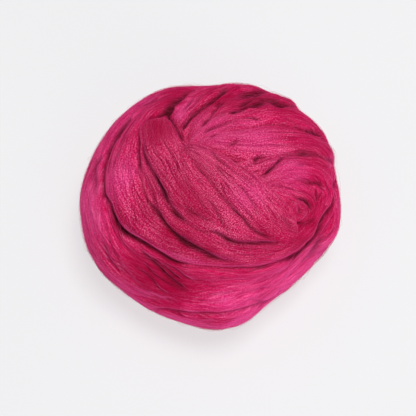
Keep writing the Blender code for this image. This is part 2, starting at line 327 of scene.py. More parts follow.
# Gaps between wraps, and creases in them. Rows: bearing and drop in degrees, depth and width
# in mm.
FOLDS = (
    Fold("rim_gap", (
        (133.1, 68.2, 6, 1.5), (137.3, 66.3, 6, 1.5), (141.7, 65.5, 6, 1.5),
        (146.6, 64.2, 6, 1.5), (152, 62.5, 6, 1.5), (157.1, 61.6, 6, 1.5), (161.9, 60, 3, 1.5),
        (167.3, 60, 3, 1.5), (173.2, 59.4, 3, 1.5), (178.7, 58.8, 3, 1.5), (183.7, 58, 3, 1.5),
        (189.4, 53.7, 3, 1.5), (193.9, 53.2, 5.5, 1.5), (198.7, 53.1, 6.5, 1.5),
        (203.9, 53, 7, 1.5), (209.7, 51.4, 6, 1.5), (215.3, 49, 4, 1.5), (221.1, 46.8, 4, 1.5),
        (227.6, 45.2, 3.5, 1.5), (233.9, 45.1, 3, 1.5), (239.9, 45.9, 3.5, 1.5),
        (245.2, 46.3, 4, 1), (250.9, 46.2, 3, 1), (257.5, 45.4, 1.5, 0.5), (265.8, 45.7, 1, 1),
        (273.5, 46.5, 1, 1), (281.6, 47.4, 1.5, 1), (288.8, 48.7, 1.5, 1.5),
        (294.4, 51, 1.5, 1.5), (298.9, 52.9, 2, 1.5), (303.6, 53.9, 1.5, 1.5),
        (307.9, 53.5, 1.5, 1.5), (312.8, 57.2, 2, 2), (317.7, 60.7, 3.5, 2.5),
        (322.4, 63.7, 4.5, 2.5), (327.7, 64.4, 5, 3), (332.6, 64.9, 7, 2), (337.1, 64.8, 7, 2),
        (341.4, 63.5, 5.5, 1.5), (346, 64.6, 3.5, 1.5), (351.3, 68.8, 4, 1.5),
        (355.6, 71, 4.5, 1.5), (0.7, 74.4, 3.5, 1), (4.8, 77.2, 2, 0.5),
    )),
    Fold("fold_side", (
        (141.3, 41.2, 1, 0.5), (147.1, 38.5, 2.5, 1), (153, 35.7, 3.5, 1), (159.5, 31.9, 3, 1.5),
        (165.4, 28.7, 2.5, 1.5), (171.7, 26, 3, 1.5), (179.4, 23.9, 5, 1), (187.8, 22.4, 5.5, 1),
        (197.3, 21.7, 4.5, 1.5), (206.6, 21.8, 3, 1.5), (216.5, 22, 2.5, 1.5),
        (225.9, 22.7, 3.5, 1.5), (234.9, 23, 3, 1.5), (244, 23.9, 1.5, 1), (255, 25.3, 1.5, 1),
        (265.5, 25.9, 1.5, 1), (274.5, 25.9, 2.5, 1), (281.8, 28.3, 3, 1.5),
        (286.6, 31.2, 3.5, 1.5), (292.2, 33.7, 3, 1.5), (298.5, 36, 3, 1.5),
        (304.8, 38.4, 3, 1.5), (310.3, 40.7, 3, 1), (315.2, 44.5, 2, 1), (320.3, 48, 1.5, 0.5),
    )),
    Fold("turn_gap", (
        (135.8, 53.2, 1, 1), (140, 47.5, 2, 0.5), (145.8, 42.7, 3, 1), (152.6, 39.8, 3, 1),
        (160.4, 36.9, 2.5, 1), (169.7, 34.8, 2, 1), (179.2, 32.8, 2, 1), (189.4, 31.7, 2, 1),
        (198.8, 30.9, 2.5, 1), (207.3, 29.5, 3, 1.5), (215.4, 29, 3.5, 1.5), (224, 29.7, 4, 1),
        (231.3, 30.4, 4, 1), (238.8, 31.2, 4.5, 1), (246.5, 32.4, 5.5, 1.5),
        (252.8, 33.4, 5.5, 1.5), (259.7, 34.7, 4.5, 1.5), (266, 36.1, 4, 1.5),
        (271.4, 38.4, 3.5, 2), (278.1, 40.9, 2.5, 1.5), (284.7, 42.6, 1.5, 1.5),
        (291.5, 45.8, 0.5, 1),
    )),
    Fold("two_folds", (
        (113.2, 16.4, 0.5, 1), (124.9, 12.3, 1, 1), (128.3, 6.9, 2.5, 1), (125.2, 1.7, 2, 1),
        (301.8, 4.2, 1.5, 1), (303.7, 8, 1.5, 1), (305.9, 11.4, 2, 1), (307.3, 15.1, 2, 1.5),
        (308.2, 19.2, 3, 1), (309.1, 23.3, 3.5, 0.5), (309.4, 26.7, 3, 1), (309.1, 30.5, 2.5, 1),
        (311.1, 34.4, 2.5, 1), (313.6, 38.7, 3, 1), (314.5, 41.8, 4, 0.5),
    )),
    Fold("back_seam", (
        (116.8, 30.5, 2.5, 0.5), (111.7, 33.5, 4, 1), (107.5, 36, 4, 1), (103.2, 38.9, 4, 1),
        (99.2, 41.4, 3.5, 1), (96, 43.8, 3, 1), (91.3, 47.3, 3.5, 1), (87.8, 50.4, 3.5, 1),
        (84.7, 54.8, 3.5, 1), (82.1, 60.6, 4, 1.5), (80.1, 66.4, 3, 1.5),
    )),
    Fold("hole", (
        (130.4, 47, 1, 1), (126.6, 50.5, 2, 1), (123.4, 50.2, 3, 1), (119.9, 50.5, 4.5, 1),
        (116.7, 51, 7, 1.5), (113.9, 51.8, 7.5, 2), (111.6, 52.7, 5.5, 1.5),
        (109.4, 53.8, 2.5, 1),
    )),
    Fold("hole_slit", (
        (111.3, 52.7, 2, 1), (113.3, 51.9, 6, 1.5), (115.5, 50.1, 7, 1.5), (117.4, 48, 5, 1),
        (120.9, 37.7, 1, 0.5),
    )),
    Fold("hole_edge", (
        (116.7, 48.4, 5, 1), (118.1, 39.1, 3, 1), (118.7, 34.3, 2.5, 1), (119.1, 31.1, 2.5, 1),
        (119.8, 27.9, 3, 1), (120.4, 24.8, 2, 1), (121, 22.2, 1, 1),
    )),
    Fold("back_hollow", (
        (117.9, 56.9, 1, 2), (114.7, 54.6, 2, 2), (110.6, 54.2, 3.5, 2.5), (105.9, 57, 4, 2.5),
        (101.8, 63.1, 3.5, 2), (98.3, 67.1, 2.5, 2), (95.6, 71.9, 1, 1.5),
    )),
    Fold("crown_top", (
        (77, 39.5, 2.5, 1.5), (73, 43.3, 7, 1.5), (69.4, 46.4, 7, 1.5), (66.8, 51, 7, 1.5),
        (63.8, 52.5, 7, 2), (61.9, 56.9, 4.5, 3), (61.1, 62.1, 2.5, 3.5), (57.1, 63.7, 3.5, 3.5),
        (53.7, 64, 6.5, 2.5), (51.4, 67.4, 5.5, 1.5), (48.9, 71.1, 4, 1), (47.3, 79.5, 3, 1),
        (43.3, 74.9, 1.5, 1.5),
    )),
    Fold("crown_foot", (
        (19.8, 23.3, 1.5, 1.5), (25.6, 23.9, 3, 1.5), (30.3, 26.5, 3.5, 1), (28.4, 29, 2, 1.5),
        (26.9, 31.7, 1, 2), (26.5, 35.7, 1, 2), (24.5, 39.3, 1.5, 2), (23.2, 44, 2, 2),
        (22.6, 48.3, 2, 2), (22.2, 53.6, 3, 2), (20.8, 58.6, 2.5, 2), (18.9, 63.9, 2, 1.5),
        (17, 69.9, 2, 1.5), (16.1, 80.8, 4, 1), (11.7, 83.9, 5, 0.5), (7.1, 80.5, 4, 1),
        (1, 68, 3, 1),
    )),
    Fold("wedge_right", (
        (2.7, 24.9, 1, 1), (8.2, 26.6, 3, 1), (13.3, 29.4, 3.5, 1), (16.4, 32.5, 3, 1),
        (19.7, 35.5, 3, 1), (22.4, 39.2, 5, 1), (23.2, 41.8, 5, 1),
    )),
    Fold("swirl_root", (
        (359.3, 29.4, 1, 1), (358, 32.8, 1.5, 1), (357, 36.3, 1.5, 1), (355.3, 39.8, 1, 1),
    )),
    Fold("upper_edge", (
        (119.9, 24.1, 1, 1), (116.5, 19.9, 1, 1), (107.1, 17.6, 1, 1), (97.2, 16.1, 1.5, 1),
        (84.2, 15.8, 1, 1), (70.4, 16.1, 1, 1), (55.1, 17, 1, 1), (41.8, 18.8, 1, 1),
        (30.7, 20.5, 1, 1), (22.3, 21.4, 1, 1), (14.4, 23, 1, 1), (7.9, 24.9, 1.5, 1),
        (0.7, 27.2, 1, 1), (356.7, 31.7, 1, 1), (354.2, 36.2, 1, 1), (352.5, 40.7, 1, 1),
        (351.6, 44.9, 1.5, 1), (352, 48, 3, 1), (351.6, 51.3, 4, 1), (350.3, 53.7, 4.5, 1),
        (348.7, 55.3, 3.5, 1), (346.5, 56.4, 1.5, 0.5), (343.9, 56.4, 0.5, 0.5),
    )),
    Fold("swirl_mid", (
        (356.1, 38.3, 1.5, 1), (0.4, 40.4, 1.5, 1), (4.1, 43.7, 1, 1), (5.3, 48, 1, 1.5),
        (4.5, 53.9, 1.5, 2), (4.4, 58.2, 2.5, 1.5), (3.9, 61.5, 3, 1.5), (1.2, 62.4, 3, 1.5),
        (358.3, 62.5, 1.5, 1.5),
    )),
    Fold("swirl_low", (
        (355.8, 37, 2.5, 1.5), (357.8, 40.6, 2, 1), (356.5, 44.7, 1, 1.5), (357.6, 49.6, 1, 2),
        (0, 55, 1.5, 2),
    )),
    Fold("curl_inner", (
        (346.6, 44.5, 1.5, 1), (344.5, 47.3, 2, 1.5), (342.1, 48.4, 2, 1.5),
        (338.9, 47.2, 1, 1.5),
    )),
    Fold("lip_line", (
        (243, 96.1, 1, 1), (247, 85.8, 1.5, 1), (251.5, 81.2, 2, 1), (256.1, 79.3, 2, 1),
        (261.5, 77.6, 2, 1), (266.7, 75.4, 2, 1), (272, 74.3, 2, 1), (277.2, 74.3, 2, 1),
        (281.6, 74.7, 2, 1), (286.2, 76.2, 2, 1), (291, 79.4, 2, 1), (296.3, 85.5, 2, 1),
        (302.1, 92.8, 1.5, 1), (307.4, 93.8, 1, 1),
    )),
    Fold("rim_inner", (
        (159.9, 64.3, 3, 1.5), (164.9, 70.2, 2.5, 2.5), (170, 68.5, 2, 3), (174.9, 65, 2, 3),
        (179.6, 64.1, 1.5, 3), (184.5, 62.9, 1, 2.5), (189.6, 62, 1, 2), (194.3, 62.8, 0.5, 2.5),
    )),
    Fold("rim_line_a", (
        (187.4, 63.6, 1, 1.5), (193, 62.6, 1, 1.5), (197.7, 60.9, 0.5, 1.5), (204.1, 60.8, 1, 1),
        (210.3, 62.5, 1.5, 0.5), (215, 63.3, 1, 0.5), (220.4, 64.3, 0.5, 1),
    )),
    Fold("rim_line_b", (
        (202.2, 66.1, 0.5, 2), (206.5, 66.7, 1, 2), (210.9, 68, 2, 2), (215.5, 70.5, 1.5, 2),
        (220.3, 72, 2, 1.5), (225.5, 71.8, 2.5, 1.5),
    )),
    Fold("rim_line_c", (
        (178.9, 74.4, 1.5, 0.5), (186.1, 69.5, 0.5, 0.5), (192.4, 69.2, 0.5, 0.5),
        (199.4, 69.7, 0.5, 0.5), (205.8, 71.6, 0.5, 1.5),
    )),
    Fold("rim_line_d", (
        (167.6, 73.3, 2, 2), (175, 67.6, 1.5, 1.5), (179.6, 65.1, 1.5, 1.5),
    )),
    Fold("rim_line_e", (
        (188.4, 63, 1, 1.5), (194.6, 65.9, 0.5, 1.5), (200.7, 67.3, 0.5, 1.5),
        (207.4, 68.7, 0.5, 2), (213.7, 70.7, 1, 2),
    )),
    Fold("valley_a", (
        (224.5, 50.7, 3, 1.5), (229.5, 51.6, 3, 1.5), (234.9, 52.6, 3, 1.5), (240, 54.5, 3, 1.5),
        (245.3, 57.6, 3, 1.5), (250.2, 59.9, 3, 1.5), (254.9, 61.9, 3, 1.5),
        (259.4, 62.8, 2, 1.5),
    )),
    Fold("valley_b", (
        (229.8, 55.9, 2, 1), (234.6, 58.9, 2, 1), (240, 60.8, 2, 1), (245, 61.8, 2, 1),
        (250.4, 63.2, 2, 1), (255.6, 64.1, 2, 1), (260.1, 63.6, 2, 1),
    )),
    Fold("valley_c", (
        (230, 50.2, 2.5, 1), (235.2, 50.7, 2.5, 1), (240.8, 51.5, 2.5, 1), (246.1, 53.5, 2.5, 1),
        (251.2, 56.3, 2.5, 1), (255.9, 59.4, 2.5, 1),
    )),
    Fold("valley_d", (
        (240.5, 72.7, 1, 1.5), (243.7, 74.8, 1, 1.5), (247.8, 74.8, 1, 2), (251.3, 72.2, 1, 1.5),
        (255.2, 71.7, 1, 1.5),
    )),
    Fold("valley_e", (
        (213.9, 60.9, 1, 1), (218.1, 64, 1, 1), (222.4, 66.2, 1, 1), (226.9, 68.4, 1, 1.5),
        (231.5, 70.8, 1, 1.5), (236.2, 72.4, 1, 1.5),
    )),
    Fold("valley_f", (
        (209.7, 62.6, 1.5, 0.5), (215.1, 64.5, 1.5, 1), (219.6, 66.7, 1, 1.5),
        (224.3, 69.3, 1.5, 1.5), (229, 72.2, 1, 1.5),
    )),
    Fold("front_a", (
        (277, 50.7, 0.5, 1.5), (282.7, 52.7, 0.5, 2), (288.7, 54.3, 0.5, 2),
        (294.6, 55.3, 0.5, 1.5),
    )),
    Fold("front_b", (
        (280.4, 54.5, 0.5, 2), (285.8, 56.2, 1, 1.5), (291.3, 56.9, 0.5, 1),
        (296.9, 56.8, 0.5, 1.5), (302.1, 59.6, 0.5, 2),
    )),
    Fold("front_c", (
        (278.3, 58.7, 1, 1), (285.1, 60.7, 0.5, 1.5), (291.4, 64.2, 0.5, 1),
        (297, 61.3, 0.5, 1.5), (302.5, 61.3, 0.5, 2), (308.7, 71.1, 1, 2),
    )),
    Fold("front_d", (
        (284.2, 68.6, 0.5, 1.5), (289.9, 72.7, 1, 1), (294.8, 82.4, 2, 1), (300.6, 88.9, 2, 1.5),
        (305.3, 84.4, 1, 1), (310.9, 86.1, 1, 1),
    )),
    Fold("front_e", (
        (282.1, 66, 1.5, 1), (288.8, 67.9, 1, 1), (295, 70, 1.5, 1), (300.7, 74.1, 1, 1),
        (306.4, 78.1, 0.5, 1.5),
    )),
    Fold("front_f", (
        (261.9, 60.2, 0.5, 1), (267.1, 62.6, 0.5, 1), (273, 63.8, 1, 1), (279.5, 63.6, 1.5, 1),
        (285.7, 63.4, 1, 1),
    )),
    Fold("lip_a", (
        (260.9, 87.5, 0.5, 2), (266.3, 84.1, 0.5, 2), (271.2, 78, 0.5, 2), (276.1, 76.2, 0.5, 2),
        (281.4, 78.3, 1, 2),
    )),
    Fold("lip_b", (
        (268.1, 88.1, 1, 1.5), (272.6, 92.7, 1, 1), (277.1, 92.5, 1, 1.5), (281, 84.9, 1, 1.5),
    )),
    Fold("right_line", (
        (348.4, 73.7, 1, 4), (342.4, 71.3, 1, 3.5), (336.6, 72.6, 2, 3), (331, 77.3, 2.5, 3.5),
        (325.1, 79.8, 2, 4), (319.1, 78.3, 2, 4),
    )),
    Fold("turn_a", (
        (163.1, 33.9, 1, 1), (170.5, 30.1, 0.5, 1), (180.5, 26.6, 1, 1), (191.5, 24.9, 1.5, 1.5),
        (205.1, 24.4, 1.5, 1.5),
    )),
    Fold("turn_b", (
        (251.7, 37.4, 0.5, 1.5), (256, 40, 0.5, 2), (262.4, 41, 0.5, 1.5), (269.1, 40.3, 1, 1.5),
        (276.7, 40.5, 1, 1.5),
    )),
    Fold("turn_d", (
        (183.4, 40.2, 0.5, 1.5), (191.6, 37.8, 0.5, 1.5), (201.4, 35.7, 1, 1.5),
        (212.7, 36.1, 1, 1.5), (224.8, 36.5, 0.5, 1.5), (235.2, 36.3, 0.5, 2),
    )),
    Fold("turn_f", (
        (235.5, 38, 0.5, 1.5), (241.1, 40, 0.5, 1.5), (247.2, 41.8, 1, 0.5),
        (253.8, 42, 0.5, 0.5), (261.2, 41.5, 0.5, 0.5),
    )),
    Fold("turn_g", (
        (257.5, 30.1, 0.5, 0.5), (267.9, 30.7, 0.5, 1.5), (278.3, 32.2, 0.5, 1.5),
        (285.6, 36.5, 1.5, 1), (292.4, 41.2, 0.5, 1),
    )),
    Fold("lower_a", (
        (138.8, 16.7, 0.5, 2), (154.7, 9.8, 0.5, 2), (207.9, 5.4, 0.5, 2), (266.9, 9, 1, 2),
        (280.8, 15.5, 2, 1), (286, 23.2, 2, 1), (290.3, 30.2, 0.5, 1),
    )),
    Fold("lower_b", (
        (138.9, 26.9, 1.5, 1), (145.3, 20.7, 1, 1.5), (159.2, 14.6, 0.5, 1.5),
        (188, 10.4, 1.5, 1), (230.6, 10.3, 1.5, 0.5), (260.1, 14.3, 1.5, 0.5),
        (275.2, 20.6, 1.5, 0.5),
    )),
    Fold("lower_c", (
        (153.7, 25.5, 0.5, 2), (163.8, 19.2, 0.5, 2), (184.5, 15.4, 0.5, 2), (212.4, 16, 0.5, 2),
        (235.2, 17.3, 1.5, 1.5), (258, 18.8, 2, 1), (276, 21.6, 1.5, 1.5),
    )),
    Fold("lower_d", (
        (206.2, 19.9, 0.5, 3), (219.6, 18.1, 0.5, 3), (235.4, 17.8, 1.5, 3), (252.3, 19.5, 3, 2),
    )),
    Fold("upper_a", (
        (81.4, 10.2, 2, 1), (45.9, 6.7, 2, 1.5), (357.2, 8.4, 1, 2), (347.4, 12.4, 1, 2),
        (341.6, 16.3, 2, 1), (334.2, 19.7, 2, 1), (330.1, 23.3, 2, 1), (323.9, 26.8, 1.5, 1.5),
        (318, 31.5, 0.5, 2),
    )),
    Fold("upper_b", (
        (24.7, 12.5, 0.5, 1.5), (3.5, 16.1, 1.5, 1), (348.9, 20.9, 1, 1), (341, 26.8, 0.5, 1),
        (336.1, 33.8, 0.5, 1.5), (330.2, 41.2, 1, 1.5),
    )),
    Fold("upper_c", (
        (332.5, 34.4, 0.5, 4.5), (332.4, 39.7, 1.5, 3.5), (330.8, 45, 1.5, 3),
        (328.9, 50, 2.5, 2.5),
    )),
    Fold("upper_d", (
        (90.9, 17.5, 2, 1), (72, 11.5, 2, 1.5), (34.9, 11.2, 1, 2), (4.9, 15.3, 0.5, 2),
        (343.9, 20.1, 0.5, 1),
    )),
    Fold("upper_e", (
        (11.6, 22.1, 0.5, 1), (359.5, 27.3, 0.5, 1), (350.3, 32.8, 0.5, 1),
        (340.9, 37, 0.5, 1.5), (336.4, 42.2, 0.5, 2),
    )),
    Fold("crown_a", (
        (90.8, 20.5, 1.5, 0.5), (84.7, 24.1, 3.5, 0.5), (78.9, 26.7, 3, 0.5), (72.6, 29.3, 1, 1),
        (67.4, 33, 1, 1), (60.9, 35.4, 1, 0.5), (55.3, 39.7, 1.5, 0.5), (51.3, 44.7, 2, 0.5),
        (46.9, 49.2, 2, 0.5), (42.8, 53.8, 2, 1), (39.3, 57.5, 3.5, 1.5),
    )),
    Fold("crown_b", (
        (65.2, 18.9, 1, 2), (61.9, 22, 2.5, 1.5), (58.7, 25.3, 2, 1), (53.6, 28.3, 0.5, 1),
    )),
    Fold("crown_c", (
        (97.9, 29.8, 6, 1), (93.4, 33, 4.5, 1), (90, 36.1, 2, 1), (86.8, 41.2, 2.5, 1),
        (82.8, 46.9, 3.5, 1),
    )),
    Fold("crown_d", (
        (97, 26.2, 4, 1.5), (89.5, 28.1, 3, 1), (82, 30.7, 2.5, 1), (74.1, 34.3, 1.5, 1),
        (67.6, 38.7, 1.5, 1), (60.8, 42.7, 2.5, 1), (53, 45.7, 3, 1),
    )),
    Fold("crown_e", (
        (42.7, 59, 2, 1.5), (38.6, 59.8, 2, 2), (35, 62.3, 2, 1.5), (32.2, 68.2, 4, 1.5),
        (29.4, 74.2, 5, 1.5), (24.7, 72, 1.5, 1),
    )),
    Fold("crown_g", (
        (42.7, 25.8, 0.5, 1), (36.9, 31.2, 0.5, 1.5), (33.2, 38.1, 0.5, 2),
        (31.4, 46.3, 0.5, 1.5), (28.5, 53.6, 0.5, 2), (23.1, 58.4, 0.5, 2),
    )),
    Fold("crown_h", (
        (49.9, 47.2, 1, 0.5), (46.8, 53.6, 1, 0.5), (42.7, 58.2, 1.5, 1), (37, 60.7, 1, 1),
    )),
    Fold("edge_a", (
        (111.6, 41.5, 1, 0.5), (106.4, 43.5, 1.5, 1), (101.1, 45.2, 1.5, 1.5),
        (97, 50.5, 1.5, 2), (92.6, 57.5, 2, 1.5),
    )),
    Fold("edge_b", (
        (111.9, 36.5, 2, 0.5), (105.3, 39.6, 2, 0.5), (99.7, 42.3, 1.5, 0.5),
        (94.8, 45.8, 1.5, 1), (90.1, 50.3, 2, 1.5),
    )),
    Fold("edge_c", (
        (111, 42.6, 1, 1.5), (106.6, 45, 1.5, 1.5), (102.2, 49.1, 2.5, 1.5),
        (98.4, 55.6, 3, 1.5),
    )),
    Fold("back_a", (
        (86.8, 45.3, 5, 2), (83.6, 48.6, 3.5, 2), (81.2, 51.8, 0.5, 3.5), (78.2, 54.9, 0.5, 3.5),
        (74.3, 56.7, 1.5, 3.5), (70.3, 61.8, 4, 3), (67, 69.2, 5.5, 2),
    )),
    Fold("back_b", (
        (72.3, 47.9, 3.5, 1.5), (69.6, 52.9, 3, 1.5), (66.8, 58.6, 2.5, 2), (64.3, 66.4, 2, 2.5),
        (60.9, 78.3, 2.5, 2.5), (55.2, 73.6, 3.5, 2.5),
    )),
    Fold("back_c", (
        (68.7, 59.8, 4.5, 3.5), (66.1, 68.2, 4.5, 2.5), (62.5, 76.2, 4, 3.5), (57.6, 77, 3, 3),
        (52.8, 73.3, 2, 1.5), (49.4, 77.6, 2, 1.5),
    )),
    Fold("swirl_a", (
        (5.5, 30.6, 1, 1), (10.4, 36.6, 1, 1.5), (12.2, 43.7, 0.5, 2), (12, 51.2, 0.5, 1.5),
        (10.5, 58.3, 0.5, 1), (8.1, 63.9, 0.5, 1.5),
    )),
    Fold("swirl_b", (
        (2.2, 56.8, 1.5, 1.5), (358.9, 59.1, 1.5, 1.5), (354.9, 59.6, 1.5, 1.5),
        (350.3, 59.1, 1, 2),
    )),
    Fold("swirl_c", (
        (16.7, 46.3, 1.5, 1), (17, 53.7, 1, 1.5), (13.6, 58.3, 0.5, 1.5), (9.8, 61.9, 0.5, 2),
        (7.1, 65.8, 0.5, 1.5), (2.6, 66, 1, 1.5), (355.9, 63.3, 0.5, 1), (348.8, 61.6, 0.5, 1),
    )),
    Fold("knuckle_a", (
        (133.9, 68.9, 2.5, 1), (127.2, 68.3, 2.5, 1), (120.8, 67.3, 3, 1.5),
        (115.7, 63.8, 3, 1.5),
    )),
    Fold("knuckle_b", (
        (132.4, 79.4, 1.5, 0.5), (126.1, 79.9, 1.5, 1), (119.6, 78.9, 1.5, 1),
        (114.7, 67.1, 1, 1),
    )),
    Fold("valley_g", (
        (224.9, 62.6, 0.5, 1), (230, 62.6, 1, 1), (235.2, 62.8, 2, 1), (240.1, 64.8, 2, 1),
        (245.1, 68.5, 2, 1), (250.5, 69.2, 2, 1),
    )),
    Fold("valley_h", (
        (239, 49.3, 2, 1), (244.4, 50, 2, 1), (250.4, 51.2, 2, 1), (256, 54.4, 2, 1),
        (261.8, 57, 2, 1),
    )),
    Fold("fold_end", (
        (335.6, 47.3, 1, 1), (336.7, 52.7, 2.5, 1), (337.6, 54.3, 2, 1), (339.8, 56.2, 2, 1),
        (342.4, 58, 2.5, 1), (344.9, 59.1, 1, 1),
    )),
)

# Painted shade and painted light: where the wool is painted darker, in gaps, channels and
# other shaded parts, and paler, on crests, the rim and the front right, where light falls.
# Rows: how it shows there, reach in mm, and the bearing and drop of each place.
TINTS = (
    Tint("fold_root", PaintedShading.FULL, 7, ((132, 40), (127, 36), (136, 34))),
    Tint("fold_middle", PaintedShading.FULL, 10, ((206, 12), (248, 17))),
    Tint("fold_end", PaintedShading.FULL, 11, ((317, 39),)),
    Tint("fold_crest", PaintedShading.SOFT, 9, ((337, 20),)),
    Tint("back_edge", PaintedShading.FULL, 9, ((106, 62), (78, 52), (49, 63))),
    Tint("back_top", PaintedShading.WARM, 10, ((88, 51), (68, 58), (59, 60), (30, 58))),
    Tint("right_edge", PaintedShading.WARM, 8, ((21, 66), (10, 63))),
    Tint("swirl_foot", PaintedShading.FULL, 7, ((351, 56),)),
    Tint("crown", PaintedShading.SOFT, 12, ((49, 34), (85, 27), (11, 43))),
    Tint("channel", PaintedShading.DEEP, 7, ((234, 31), (252, 33), (269, 36))),
    Tint("channel_ends", PaintedShading.WARM, 7, ((211, 30), (187, 31), (283, 43))),
    Tint("valley", PaintedShading.DEEP, 12, ((238, 62), (249, 62))),
    Tint("valley_ends", PaintedShading.FULL, 9, ((227, 60), (261, 58))),
    Tint("front", PaintedShading.WARM, 10, ((256, 70),)),
    Tint("front_right", PaintedShading.PALE, 16, ((311, 83), (331, 100))),
    Tint("right_gap", PaintedShading.DEEP, 6, ((338, 60), (326, 56))),
    Tint("right_rim", PaintedShading.WARM, 8, ((344, 72), (341, 48))),
    Tint("lip", PaintedShading.SOFT, 11, ((289, 75), (283, 85), (256, 81))),
    Tint("lip_left", PaintedShading.WARM, 6, ((271, 80),)),
    Tint("left_rim", PaintedShading.SOFT, 13, ((179, 70), (195, 70), (156, 80), (136, 80))),
    Tint("left_shoulder", PaintedShading.SOFT, 10, ((174, 43), (121, 75))),
    Tint("low_left", PaintedShading.PALE, 8, ((235, 94),)),
    Tint("rim_gap", PaintedShading.FULL, 3, ((157, 59), (166, 58), (174, 60), (183, 59), (191, 58))),
    Tint("rim_gap_foot", PaintedShading.DEEP, 5, ((203, 51),)),
    Tint("turn_crest", PaintedShading.SOFT, 8, ((257, 43),)),
    Tint("hollow_lips", PaintedShading.PALE, 4, ((107, 48), (101, 52), (113, 42))),
    Tint("hollow", PaintedShading.FULL, 4.5, ((120, 54), (113, 58), (107, 55))),
    Tint("lip_line", PaintedShading.SOFT, 5, ((261, 71), (269, 68), (278, 68))),
    Tint("lip_fold", PaintedShading.WARM, 3.5, ((268, 78), (278, 78), (286, 79))),
)

# Lobes of combed fibre, coarse to fine. Even the finest is some thirty times coarser than
# single wool fibres, which are 0.02 to 0.03 mm thick and can't show at this size.
RIDGES = (
    Ridges(95.0, 8.5, 0.75, True),
    Ridges(75.0, 3.8, 0.38, True),
    Ridges(48.0, 1.7, 0.20, False),
    Ridges(24.0, 0.85, 0.13, False),
)


def unit(vectors: np.ndarray) -> np.ndarray:
    """Scale each vector to length one."""
    return vectors / np.linalg.norm(vectors, axis=-1, keepdims=True)


def heading(bearing: np.ndarray, drop: np.ndarray) -> np.ndarray:
    """Unit directions of places on the ball, from degrees of bearing and drop."""
    turn, tilt = np.radians(bearing), np.radians(drop)
    return np.stack((np.sin(tilt) * np.cos(turn), np.sin(tilt) * np.sin(turn), np.cos(tilt)), -1)


def spline(rows: np.ndarray, closed: bool, per_span: int) -> np.ndarray:
    """Catmull-Rom curve through rows of numbers.

    Args:
        rows: the rows that the curve passes through.
        closed: whether the last row runs back into the first.
        per_span: samples from one row to the next.

    Returns:
        The rows of the fine curve, its last one included.
    """
    count = len(rows)
    share = (np.arange(per_span) / per_span)[:, None]
    runs = []
    for span in range(count if closed else count - 1):
        if closed:
            before, start, end, after = (rows[(span + k) % count] for k in NEIGHBOURS)
        else:
            start, end = rows[span], rows[span + 1]
            before = rows[span - 1] if span > 0 else 2 * start - end
            after = rows[span + 2] if span + 2 < count else 2 * end - start
        runs.append(0.5 * (
            2 * start
            + (end - before) * share
            + (2 * before - 5 * start + 4 * end - after) * share**2
            + (3 * start - before - 3 * end + after) * share**3
        ))
    runs.append(rows[:1] if closed else rows[-1:])
    return np.vstack(runs)


def distances_along(points: np.ndarray) -> np.ndarray:
    """How far along a line each of its points lies."""
    strides = np.linalg.norm(np.diff(points, axis=0), axis=1)
    return np.concatenate(((0,), np.cumsum(strides)))


def nearest(points: np.ndarray, spots: np.ndarray) -> np.ndarray:
    """Index of the spot that is nearest to each point."""
    return (points @ spots.T - 0.5 * (spots**2).sum(1)).argmax(1)


def crown(across: np.ndarray) -> np.ndarray:
    """Height of a section's top, as a share of its loft, at -1 to 1 across it."""
    return np.clip(1 - np.abs(across) ** CROWN_POWER, 0, 1) ** CROWN_ROUND


def cubic_weights(share: np.ndarray) -> tuple[np.ndarray, ...]:
    """Weights of the four neighbours of a point that lies a share of the way past the second."""
    square, cube = share**2, share**3
    return (
        0.5 * (-share + 2 * square - cube),
        0.5 * (2 - 5 * square + 3 * cube),
        0.5 * (share + 4 * square - 3 * cube),
        0.5 * (cube - square),
    )


